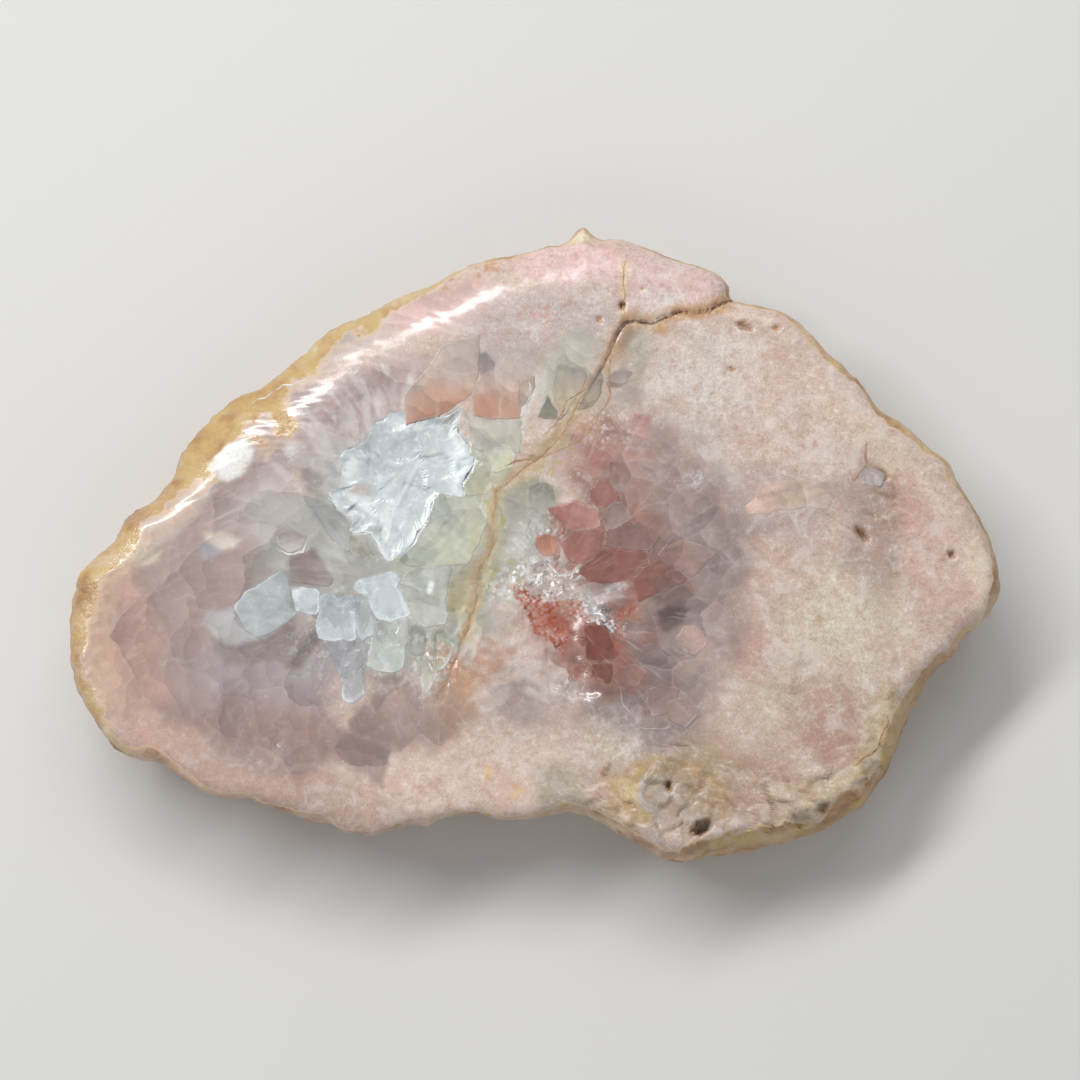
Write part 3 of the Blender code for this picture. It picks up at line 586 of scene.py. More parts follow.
SHARDS: dict[str, Shard] = {
    "ash_triangle": Shard(((-30.2, 10), (-23.8, 9.4), (-24, 5.8), (-26.2, 4.2), (-28.8, 5.6)),
        "998A85", "AFAFAB", 0, 0.25),
    "ash_fan": Shard(((-28.4, 3.8), (-25.2, 3.8), (-23, 1), (-23.2, -2.4), (-25.6, -0.8)), "A3A3A0",
        "A9A9A5", -60, 0.4),
    "moss_cell": Shard(((-23.8, 3), (-21.8, -1.4), (-20.4, -2.8), (-23.2, -2.8), (-24.8, -0.8)),
        "9E9A8B", "8B8474", -90, 0.25),
    "smoke_window": Shard(((-30.6, -3.2), (-27.8, -2), (-25.2, -5.8), (-25.8, -6.8), (-30.4, -6.2)),
        "8A7C77", "9C908B", -60, 0.3),
    "cream_drop": Shard(((-32.4, 0), (-30.4, 0.4), (-28.6, -0.4), (-29.2, -2), (-30.8, -2.4),
        (-32.2, -1.4)), "A49490", "C3BEBA", -90, 0.9),
    "cream_lump": Shard(((-50.4, -2), (-48.2, -1.6), (-46.6, -2), (-47.2, -3.8), (-48.6, -4.2),
        (-50, -3.6)), "B8A796", "C2B4A4", -90, 0.25, 0, 0.5),
    "snow_blob": Shard(((-40.3, 8.2), (-40, 9.6), (-39.3, 10.6), (-38.6, 11.5), (-37.2, 12.1),
        (-36.1, 11.9), (-35.6, 10.9), (-35.5, 9.6), (-36.2, 8.2), (-37.1, 7.2), (-38.4, 6.6),
        (-39.6, 6.9)), "E6E4E0", "EAE8E4", 0, 0.25, 0, 0.7, 0.3),
    "cream_patch": Shard(((-41.2, 0), (-39.2, 0.4), (-36.8, -0.6), (-37.4, -1.8), (-39.6, -2),
        (-40.8, -1.4)), "C9BBAE", "D8CFC4", -90, 0.2),
    "slate_spot": Shard(((-42, -1.8), (-40.4, -1.4), (-39.4, -2.2), (-40.6, -3), (-41.6, -2.8)),
        "A2A5AC", "ABA6AA", -90, 0.2),
    "cloud_facet": Shard(((-36.3, -7.5), (-34, -6.2), (-31.8, -4.7), (-30.7, -5.9), (-30.5, -7.8),
        (-29.9, -10.4), (-31.6, -11.5), (-33.7, -12.9), (-35, -13), (-36.6, -11.2), (-37.4, -9.3)),
        "B4B8B9", "C0C4C4", 170, 0.3, 0, 0, 0.2),
    "cloud_side": Shard(((-41, -9.9), (-37.4, -9.3), (-36.6, -11.2), (-35, -13), (-37.4, -13.8),
        (-38.7, -13.3), (-40.3, -12.6), (-41.6, -11.2)), "B4B2B1", "B0ABAA", 180, 0.2),
    "smoke_band": Shard(((-40.4, -13.2), (-38.7, -13.9), (-37.2, -14.2), (-35, -13.4),
        (-33.4, -13.3), (-31.5, -11.9), (-30, -11), (-29.4, -13), (-31, -16), (-34.5, -16.4),
        (-38.6, -16.6)), "857A77", "938885", -90, 0.2),
    "smoke_wedge": Shard(((-27.2, -11.6), (-25.8, -11), (-26.6, -13.4), (-29.2, -17), (-31, -17.4),
        (-31.4, -16.2), (-29.2, -14)), "7C716D", "8A7D78", -90, 0.2),
    "plum_window": Shard(((-23, -23.6), (-21.2, -22), (-19.8, -23.4), (-20.2, -25.6),
        (-22.6, -25.2)), "967F7A", "9C8580", -90, 0.2),
    "plum_pane": Shard(((-24.8, -26.6), (-23.6, -25), (-19.8, -26), (-17.8, -27), (-19, -31.6),
        (-22.2, -29.6), (-24.6, -28.4)), "98827D", "A8918B", -90, 0.25),
    "brown_slot": Shard(((-16.6, 18.2), (-15.2, 18.2), (-14.8, 15), (-16.2, 15)), "B8B5B0",
        "B2ACA4", -90, 0.2),
    "tan_cell": Shard(((-13.2, 21.4), (-12, 24), (-7, 25.4), (-7.2, 20.2), (-8.2, 17.6), (-12, 15),
        (-16.4, 13.8), (-16.6, 17.6)), "B8A79C", "BDA091", -70, 0.35, inner=(Wash((-11.6, 15.6),
        (5, 1.3), 26, 1.1, "BE866C", 0.85, 0), Wash((-12.5, 17.2), (3.5, 1.6), 20, 1, "C29580", 0.6,
        0), Wash((-9.5, 22), (2, 3), 0, 0.9, "B5A8A0", 0.6, 0)), creases=(Line(((-12.6, 21),
        (-9.6, 20.2), (-7.4, 20.6)), 0.25, "CDC0B8", 0.5),)),
    "salmon_cell": Shard(((-8, 19), (-5.8, 20.8), (-2, 19.6), (-2, 14.6), (-4.4, 14.4), (-7.8, 15)),
        "B9A69C", "C39A88", -90, 0.35, inner=(Wash((-6.4, 15.8), (2.6, 1.9), 15, 1.2, "BC8C72",
        0.75, 0), Wash((-3.2, 15.4), (1.6, 1.8), 0, 1.2, "B8937E", 0.55, 0)),
        creases=(Line(((-5, 20.2), (-4.4, 17.4), (-4.6, 14.8)), 0.25, "D2C2BA", 0.5),)),
    "mauve_slip": Shard(((-7.2, 22.9), (-6.2, 23.1), (-5.1, 21.6), (-5.3, 20.4), (-6.5, 20.1),
        (-7.3, 20.9)), "968B86", "9D918B", -90, 0.3, 0, 0.1),
    "sage_cell": Shard(((-9, 15.4), (-7.8, 14.8), (-4.4, 14.2), (-1.8, 14.4), (-2, 10), (-4.4, 11),
        (-7.2, 10.4)), "B4AFA2", "BDB9AC", -90, 0.3, 0, 0.1, 0.25, inner=(Wash((-4.6, 13.2),
        (2.6, 1), 0, 0.9, "C6BFB2", 0.7, 0),)),
    "lime_cell": Shard(((-6.4, 11.4), (-5, 11.4), (-3.4, 11.2), (-2.5, 9.8), (-2.8, 8.4),
        (-4.4, 7.8), (-5.4, 7.8), (-6, 9.2), (-6.6, 9.8)), "CDCDC0", "C6C4A4", -50, 0.8, 0, 0.1,
        0.2),
    "jade_pane": Shard(((-12.1, 4.6), (-10.6, 4.8), (-9, 4.5), (-7.8, 4.5), (-6.6, 3.5), (-6, 2),
        (-6.5, 0), (-7.2, -1.5), (-8.5, -4), (-10.6, -4), (-12.5, -4.1), (-14.5, -4.2), (-16, -4.2),
        (-17.2, -3.5), (-16.5, -2.6), (-15, -1.2), (-13.5, 1.2), (-12.8, 3.2)), "B3B6AB", "C1C1AC",
        -40, 0.3, inner=(Wash((-14, -2.6), (2.6, 1.4), -20, 0.9, "A5A99F", 0.6, 0),
        Wash((-8.2, 2.4), (1.2, 2.2), 0, 0.9, "C9C8B4", 0.7, 0), Wash((-7.6, -1.6), (0.9, 2.2), 0,
        0.9, "C6C0A0", 0.6, 0), Wash((-11.2, 2.8), (1.4, 1.4), 0, 0.9, "B0B5AD", 0.6, 0)),
        creases=(Line(((-12.4, 3.6), (-10.4, 1), (-9.6, -3.8)), 0.35, "C9CBC3", 0.55),
        Line(((-9.6, 4.4), (-8.8, 1.6), (-9.8, -0.6)), 0.3, "A5A99D", 0.5))),
    "jade_block": Shard(((-16.2, -4.8), (-14.8, -4.2), (-12.5, -4.1), (-10.6, -4.1), (-10.8, -6.2),
        (-11.2, -8.1), (-11.1, -10.2), (-11.2, -11.5), (-13.8, -11.8), (-15.4, -10.8),
        (-16.4, -8.5), (-16.8, -6.2)), "B3B5AC", "BBBCB2", -90, 0.9, 0, 0.1, 0.1,
        inner=(Wash((-13.1, -6.8), (0.45, 0.9), -15, 0.7, "F2F5F5", 0.95, 0), Wash((-12, -10.2),
        (1.6, 1.2), 0, 0.8, "CDD0C8", 0.7, 0), Wash((-14.8, -6.8), (1.2, 2), 10, 0.8, "A9ACA2", 0.6,
        0)), creases=(Line(((-15.6, -6.4), (-14.2, -7.6), (-12.8, -8.8)), 0.3, "C6C9C2", 0.6),
        Line(((-11.9, -4.3), (-11.9, -7), (-12, -9.4)), 0.3, "C3C5BD", 0.5))),
    "olive_strip": Shard(((-10.4, -4.1), (-9.2, -4), (-8, -4.1), (-8.1, -6.2), (-8.2, -8.2),
        (-9.1, -10), (-10.6, -10.2), (-11.1, -8.2), (-10.6, -6.2)), "A8A28A", "AEA582", -90, 0.25),
    "grey_pane": Shard(((-4, 5.6), (-0.8, 7.6), (2.8, 5.6), (3, 0.4), (-0.4, -1.8), (-3.6, -1.4)),
        "9F9B8B", "B5B3AB", -90, 0.2, 0, 0.1, 0.2),
    "pale_pane": Shard(((-4.2, 0.6), (-1.6, 2.2), (0.8, 1.4), (1.8, -0.8), (0.2, -2.6),
        (-2.8, -2.4)), "B5B1A5", "C4C3BC", -90, 0.2, 0, 0.1, 0.4),
    "teal_chip": Shard(((1.4, 17.7), (2, 16.5), (2.6, 15.6), (2.7, 14.6), (1.3, 14.5), (0.1, 14.9),
        (0.7, 16.1)), "838579", "90876F", -90, 0.35),
    "slot_blade": Shard(((-2, 19.2), (-0.2, 20.1), (-0.1, 18.6), (-1.4, 16.2), (-2.5, 16)),
        "A99488", "B7A497", -90, 0.35, 0, 0.2),
    "straw_blade": Shard(((2.6, 21.6), (5.4, 21.1), (6.4, 20.1), (5.5, 18), (3, 14.5), (2.7, 15.6),
        (2, 16.9), (2, 18.9)), "ABA398", "BBAB8E", -90, 0.6, 0, 0.2),
    "grey_lens": Shard(((6.9, 20), (8.1, 21.2), (8.4, 19.8), (8.1, 17.9), (7.1, 16.2), (5, 15.8),
        (6, 17.8)), "968B83", "A4937F", -90, 0.35, 0, 0.1),
    "dusk_lens": Shard(((9, 20.2), (10.8, 21), (12.2, 20.7), (11.3, 19.3), (10.1, 18.6), (9, 18.6)),
        "91857F", "9C8D85", -90, 0.3, 0, 0.1),
    "white_break": Shard(((-26.1, 4.9), (-24.5, 5.8), (-24.4, 7.4), (-24.1, 8.8), (-24.5, 9.9),
        (-23.6, 10.9), (-22.5, 11.1), (-21.6, 12), (-20.6, 13.2), (-20, 14.2), (-18.8, 14.8),
        (-18, 15.4), (-16.6, 15.2), (-15.8, 14.5), (-13.9, 14.8), (-12.6, 15.1), (-11.6, 14.6),
        (-10.4, 15.5), (-9.2, 15.9), (-9.5, 14.5), (-9.6, 12.9), (-8.9, 12.1), (-8.2, 11.1),
        (-8.4, 9.9), (-7.5, 9.6), (-8.1, 8.2), (-8.6, 7), (-9.2, 6.4), (-9, 4.6), (-10, 4.9),
        (-11.2, 5), (-12.1, 5), (-12.9, 3.4), (-13.4, 1.6), (-14.5, 0), (-15.4, -1.2),
        (-16.6, -2.5), (-18.2, -3.6), (-19.1, -2.6), (-20, -1.4), (-20.8, -0.1), (-22.6, -0.1),
        (-23.6, 0.4), (-22.8, 1.4), (-22.8, 2), (-23.9, 2.4), (-24.9, 3), (-25.4, 4.1)), "C2CACC",
        "CBD3D4", -60, 0.9, 0.26, 0.55, 0.7, inner=(Wash((-18, 11.4), (5, 2.8), 20, 0.9, "B9C1C3",
        0.8, 0), Wash((-20.4, 10.5), (1.6, 0.9), 10, 0.9, "B6BFC2", 0.6, 0), Wash((-18.9, 8.3),
        (1.9, 0.9), -20, 0.9, "A4AEB1", 0.85, 0), Wash((-15.9, 12), (1.6, 0.7), 15, 0.9, "ADB6B8",
        0.7, 0), Wash((-21.2, 6.4), (2.8, 1.6), -10, 0.9, "C6CFD0", 0.7, 0), Wash((-23.2, 8),
        (1.2, 2), 0, 0.8, "DDE3E4", 0.9, 0), Wash((-23.5, 7.5), (0.5, 0.6), 0, 0.8, "F6F8F8", 1, 0),
        Wash((-22.2, 5.5), (1.3, 0.8), 0, 0.9, "C4B3A8", 0.8, 0), Wash((-20.4, 3.2), (3.2, 0.8),
        -32, 0.8, "E6EAEA", 0.85, 0), Wash((-18, 5.4), (1.6, 2.6), -30, 0.8, "CBD3D4", 0.8, 0),
        Wash((-14, 5.6), (2.6, 4.6), -28, 0.3, "C6CED0", 0.95, 0), Wash((-15.6, 1), (2.3, 2.8), -30,
        0.5, "C9D2D3", 0.9, 0), Wash((-12.2, 10.6), (2.4, 2.2), 0, 0.8, "C3CBCC", 0.8, 0),
        Wash((-9.7, 10.4), (1.2, 2.4), 0, 0.8, "DCE1E3", 0.9, 0), Wash((-9.4, 11), (0.5, 0.8), 0,
        0.8, "F1F4F6", 0.9, 0), Wash((-10.4, 14.2), (1.2, 1.6), -20, 0.8, "B3B6AF", 0.8, 0),
        Wash((-16.6, 14.2), (2.6, 0.8), 0, 0.8, "DFE4E4", 0.8, 0), Wash((-18.7, 0), (0.4, 1.1), 0,
        0.8, "F4F7F8", 0.95, 0), Wash((-21.2, 0.6), (1.6, 0.8), 0, 0.8, "A3A8A3", 0.85, 0),
        Wash((-18.2, -2.4), (1.2, 0.9), -30, 0.8, "BCC6C8", 0.6, 0)), creases=(Line(((-14.5, 9.4),
        (-15.8, 6.8), (-17.6, 3.5), (-18.4, 0.8)), 0.45, "E4E9EA", 0.7), Line(((-14.1, 9.6),
        (-15.3, 6.8), (-17.1, 3.3)), 0.35, "B2BCBF", 0.6), Line(((-22.9, 4.4), (-20.6, 2.5),
        (-18.4, 1.2)), 0.35, "F0F3F3", 0.8), Line(((-24, 3.4), (-22, 2.2), (-20.4, 1.2)), 0.3,
        "F0F3F3", 0.7), Line(((-21.6, 11.4), (-19.4, 9.6), (-16.6, 9.2), (-14.2, 10.4)), 0.3,
        "98A3A7", 0.6), Line(((-22.6, 9.8), (-20.8, 8.8), (-19.6, 7.4)), 0.3, "9CA7AB", 0.6),
        Line(((-19.2, 14.4), (-15.2, 13.4), (-11.4, 13.8), (-9.4, 14.6)), 0.35, "EEF2F2", 0.7),
        Line(((-15.8, -1), (-14, 1.2), (-12.4, 4.8)), 0.55, "EDF1F2", 0.8), Line(((-11, 13.6),
        (-9.8, 11.2), (-10.4, 8.6), (-9.6, 6.6)), 0.4, "EEF2F3", 0.7), Line(((-20.6, -0.4),
        (-19.2, -2.2), (-18.2, -3.2)), 0.3, "E8ECEC", 0.7), Line(((-19, 13.2), (-16.6, 11.6),
        (-14.8, 12.2)), 0.25, "D9DFE0", 0.6))),
    "ice_block": Shard(((-27.1, -8), (-25.8, -7.8), (-24.2, -8.2), (-23.1, -8), (-22.4, -8.8),
        (-22.5, -10.2), (-22.2, -11.8), (-22.5, -13.4), (-25.2, -13.6), (-26.8, -13.1),
        (-27.2, -11.8), (-27, -9.8)), "B0B8BC", "C0C8CC", -90, 0.8, 0.1, 0.1, 0.7),
    "ice_slab": Shard(((-22.5, -6.8), (-21.8, -5.8), (-19.8, -5.2), (-17.4, -4.8), (-16.9, -6),
        (-16.5, -8.5), (-15.5, -10.5), (-17.2, -10.9), (-19.2, -11), (-20.2, -9.9), (-21.2, -8.2)),
        "C8D0D3", "CDD5D8", -70, 0.9, 0.08, 0, 0.8),
    "ice_tip": Shard(((-24.1, -17.9), (-22.9, -17.6), (-21.4, -16.9), (-21.1, -18.8),
        (-21.2, -20.2), (-22.2, -21.2), (-23.6, -21.2), (-24.2, -20)), "AAA4A4", "BDB9BA", -90, 1,
        0.1, 0.1, 0.5),
    "ice_foot": Shard(((-20.1, -11.1), (-18, -11), (-15.8, -11.1), (-15.6, -13.1), (-16.1, -15),
        (-16.6, -17), (-17.5, -17.5), (-19.5, -17.5), (-20.8, -16.8), (-20.8, -15), (-20.1, -13.1)),
        "B2B4AC", "C9CFC7", -90, 0.9, 0.08, 0.1, 0.3),
    "ice_bead": Shard(((-15.5, -11.5), (-14.5, -11.5), (-13.8, -12.1), (-13.6, -13.8), (-14, -15.4),
        (-15, -15.5), (-15.9, -14.6), (-15.8, -13.1)), "93938A", "A2A399", -120, 1, 0.12, 0.1, 0.2),
    "ice_thumb": Shard(((-12.6, -12.2), (-11.5, -12), (-11.1, -13.1), (-10.2, -14.2),
        (-10.4, -15.5), (-11.2, -16.5), (-12.2, -17.2), (-12.8, -16), (-12.9, -14)), "9B9C8A",
        "C5C6B8", -20, 0.9, 0.12, 0.1, 0.3),
    "ice_drop": Shard(((-14.1, -16), (-13.2, -15.9), (-12.5, -17), (-12.4, -18.1), (-13, -19.2),
        (-13.5, -20.1), (-14.1, -19.2), (-14.5, -18), (-14.5, -16.9)), "A89E8E", "CFCBBE", -90, 1,
        0.12, 0.1, 0.4),
    "rust_a": Shard(((1.4, 3.2), (3, 3.4), (5, 4.2), (6.6, 3.4), (7.8, 2.6), (8.2, 1), (5.2, 0),
        (3.6, 0.6), (2.8, 1.6)), "AA7166", "B88A80", -20, 0.35),
    "rust_b": Shard(((0.1, -0.4), (1, 0), (2.1, -0.4), (2.6, -1.5), (2.4, -2.6), (1.2, -3),
        (0.4, -2.4), (0, -1.4)), "B87F66", "C79078", -80, 0.4),
    "rust_c": Shard(((3.1, -1), (4.6, 0), (7.5, 0), (8.2, -1.5), (7.5, -3.1), (6, -4), (3.8, -3.2)),
        "9E6D62", "A57064", -120, 0.3),
    "rust_d": Shard(((5.2, -5), (6.5, -3.4), (8.3, -1.8), (10.5, -2), (13.8, -2.2), (14.2, -3),
        (13.1, -4.4), (11.5, -6), (8.8, -6.4), (6.5, -6)), "8E5A50", "8E5E56", 0, 0.3),
    "rust_e": Shard(((6.6, 5.2), (7.6, 6.8), (9, 6.8), (10.6, 4.2), (8.2, 3.2), (6.6, 4)), "A7776D",
        "A06B62", -90, 0.35),
    "rust_f": Shard(((6, 10.4), (8.2, 11.8), (10.4, 10.6), (10.6, 8), (8.2, 8.2), (6, 9.2)),
        "A57D75", "AD7A70", 180, 0.2, 0, 0.2),
    "rust_g": Shard(((12, 15.4), (14.2, 14.8), (14, 11.4), (12, 12.6)), "B38179", "BC9790", -90,
        0.25, 0, 0.3),
    "rust_h": Shard(((12, -5.8), (13.4, -4.6), (15.3, -3.1), (17, -4.2), (18.9, -5.8), (16.3, -7.3),
        (14.6, -7.6), (12.9, -8.8)), "965E52", "80605A", 0, 0.35),
    "umber_a": Shard(((8.3, -1.6), (8.8, 0.4), (11, 1.2), (14, 0.8), (15.6, -0.6), (14.2, -2.2),
        (10.4, -1.9)), "8A6B64", "916E67", -90, 0.35),
    "umber_b": Shard(((12, -3.2), (14.8, -3.8), (13, -5.8), (12, -6.4)), "985F50", "8E5548", -90,
        0.25),
    "umber_c": Shard(((14.8, -7.8), (16.4, -7.4), (18.9, -6), (20, -7.4), (17.8, -9.2),
        (14.6, -9.4)), "7F6661", "87706B", -45, 0.25),
    "fawn_a": Shard(((15.2, -2.8), (17, -0.6), (20, -1.2), (22.4, -2.4), (21, -4), (19.4, -5.6),
        (17.2, -4.2)), "9C7A71", "A08882", 0, 0.6),
    "lilac_a": Shard(((8, 2.8), (10.8, 4.2), (12, 1.8), (8.8, 0.2)), "9C7F78", "A48882", -45, 0.3),
    "lilac_b": Shard(((7, -6.5), (9, -6.8), (11, -6.2), (12, -6.5), (11.2, -7.8), (9.8, -8.4),
        (8, -9), (7.2, -8)), "B49C97", "C2B1AC", -30, 0.25, 0, 0.1, 0.5),
    "wine_a": Shard(((2.8, -15.8), (3.5, -14.5), (4.2, -14), (5.5, -14.6), (6, -16), (6, -17.5),
        (5, -17.2), (3.8, -16.5), (2.8, -16.6)), "745045", "8A6660", 0, 0.25),
    "wine_b": Shard(((5.9, -11.8), (7, -11.5), (8.8, -11.8), (9.1, -13), (10, -14.5), (10.5, -15.2),
        (9.2, -16.1), (7.8, -16.4), (6.2, -16), (6, -14)), "864C40", "763C30", -120, 0.3),
    "wine_c": Shard(((6.8, -16.5), (8.2, -16.4), (9.5, -16.4), (9.5, -18), (9, -19), (7.8, -18.5),
        (7, -18)), "7C4839", "7C4535", -90, 0.3),
    "plum_a": Shard(((10.4, -16.8), (12.2, -16.4), (13.8, -17.4), (12.4, -19.4), (10.6, -19.2)),
        "8E6660", "9F7A70", 0, 0.5),
    "plum_b": Shard(((13.8, -19.6), (15.6, -19), (17.8, -19.6), (17.2, -22.6), (14.4, -22.8),
        (13.6, -21.2)), "927873", "9C827D", -90, 0.5),
    "plum_c": Shard(((12.2, -22.4), (13, -21.6), (14.2, -22.4), (13.2, -23.4), (12.2, -23.2)),
        "745048", "7E5A54", -90, 0.25),
    "fawn_b": Shard(((16.2, -21), (18.4, -20.6), (20, -23), (18.4, -24.4), (16.4, -23.4)), "A68F84",
        "A08A82", -45, 0.6),
    "dusk_a": Shard(((15, -10), (16.4, -9), (19, -9.6), (18.2, -11.4), (16, -12.6)), "5C4A46",
        "66564F", -60, 0.25),
    "peach_shard": Shard(((26.1, 3.3), (26.5, 2.5), (28.7, 2.4), (30.3, 2.9), (32.3, 3.2),
        (34.9, 3.3), (36.4, 2.9), (37.2, 4.4), (36.4, 6.4), (34, 7.2), (30.8, 6.8), (28, 6),
        (27.5, 5.3), (27.4, 4.5)), "CDAFA0", "BDA79B", 20, 0.35, 0, 0.5, inner=(Wash((26.8, 3.2),
        (1.2, 1.2), 0, 0.8, "D6B5A4", 0.8, 0), Wash((31.3, 4.2), (1.3, 0.8), 0, 0.9, "CBB59A", 0.7,
        0)), creases=(Line(((27.6, 4.6), (29.6, 5), (31.9, 5.6)), 0.35, "A89286", 0.6),)),
    "round_pink": Shard(((17.4, -13.2), (18.2, -11.8), (19.6, -11.6), (20.8, -12.6), (21.2, -14),
        (19.8, -15.2), (18.4, -15)), "BDA398", "B79C93", -45, 0.3, 0, 0.6),
    "grey_hat": Shard(((40.6, 7.6), (42, 8.4), (43.6, 7.6), (43.2, 6), (41.2, 6)), "AEA3A1",
        "B3A8A4", -90, 0.3, 0, 0.7),
    "ice_ring": Shard(((-30.5, -7), (-29.2, -6.8), (-27.8, -7.1), (-26.8, -7.5), (-27, -8.8),
        (-27.2, -9.9), (-28.5, -10.2), (-29.8, -9.8), (-30.2, -8.5)), "C3C9CC", "D2D7D8", 120, 0.8,
        0.12, 0.1, 1),
    "ice_grey": Shard(((-22.4, -8.2), (-21.5, -8.2), (-20.8, -9.1), (-19.5, -10.8), (-20.1, -11.5),
        (-20.1, -12.8), (-21.8, -13.5), (-22.2, -11.8)), "AEB1B3", "BDC3C4", -90, 0.5, 0.1, 0.1,
        0.5),
    "ice_wall": Shard(((-26.5, -13.8), (-24.8, -13.6), (-22.5, -13.4), (-21.5, -13.2),
        (-21.1, -14.4), (-21.4, -16.5), (-22.8, -17.8), (-24.2, -17.8), (-25.2, -16)), "9B999C",
        "A5A5A8", -60, 0.4, 0.05, 0.1, 0.2),
    "sage_drop": Shard(((-7.8, 8.2), (-6.8, 8.8), (-6, 9), (-5.5, 7.5), (-5.4, 5.8), (-6.2, 5),
        (-7.8, 4.8), (-8.8, 5), (-9, 6.2), (-8.2, 7)), "BEBDA8", "BDBAA0", -70, 0.6, 0, 0.1, 0.1),
    "tent_a": Shard(((-1.4, -4.6), (-0.8, -3.8), (0.6, -3), (1.5, -3.5), (2.5, -5), (1.2, -5.5),
        (-0.2, -5.9), (-1.2, -5.5)), "B8A59A", "BFB0A7", 200, 0.25, 0, 0.1, 0.3),
    "tent_b": Shard(((1.5, -3.5), (3.2, -4.5), (5.2, -4.1), (4.5, -5.2), (3.2, -5.8), (2, -5.5)),
        "BD9686", "C8B2A7", -60, 0.25, 0, 0.1, 0.3),
    "white_strip": Shard(((5.5, -7.1), (6.2, -7.1), (7.2, -8), (7.9, -9.2), (8.4, -10.5),
        (7.9, -10.9), (6.8, -10), (6.2, -9), (5.6, -8.1)), "B5ABA8", "C5BDBA", -60, 0.25, 0, 0.1,
        0.7),
    "lilac_d": Shard(((8.1, -8.8), (10, -8.4), (11.8, -7.9), (12.8, -8.2), (12.5, -9), (10.5, -9.9),
        (9, -10.5), (8.2, -9.8)), "7E6B68", "8A7672", -30, 0.25),
}

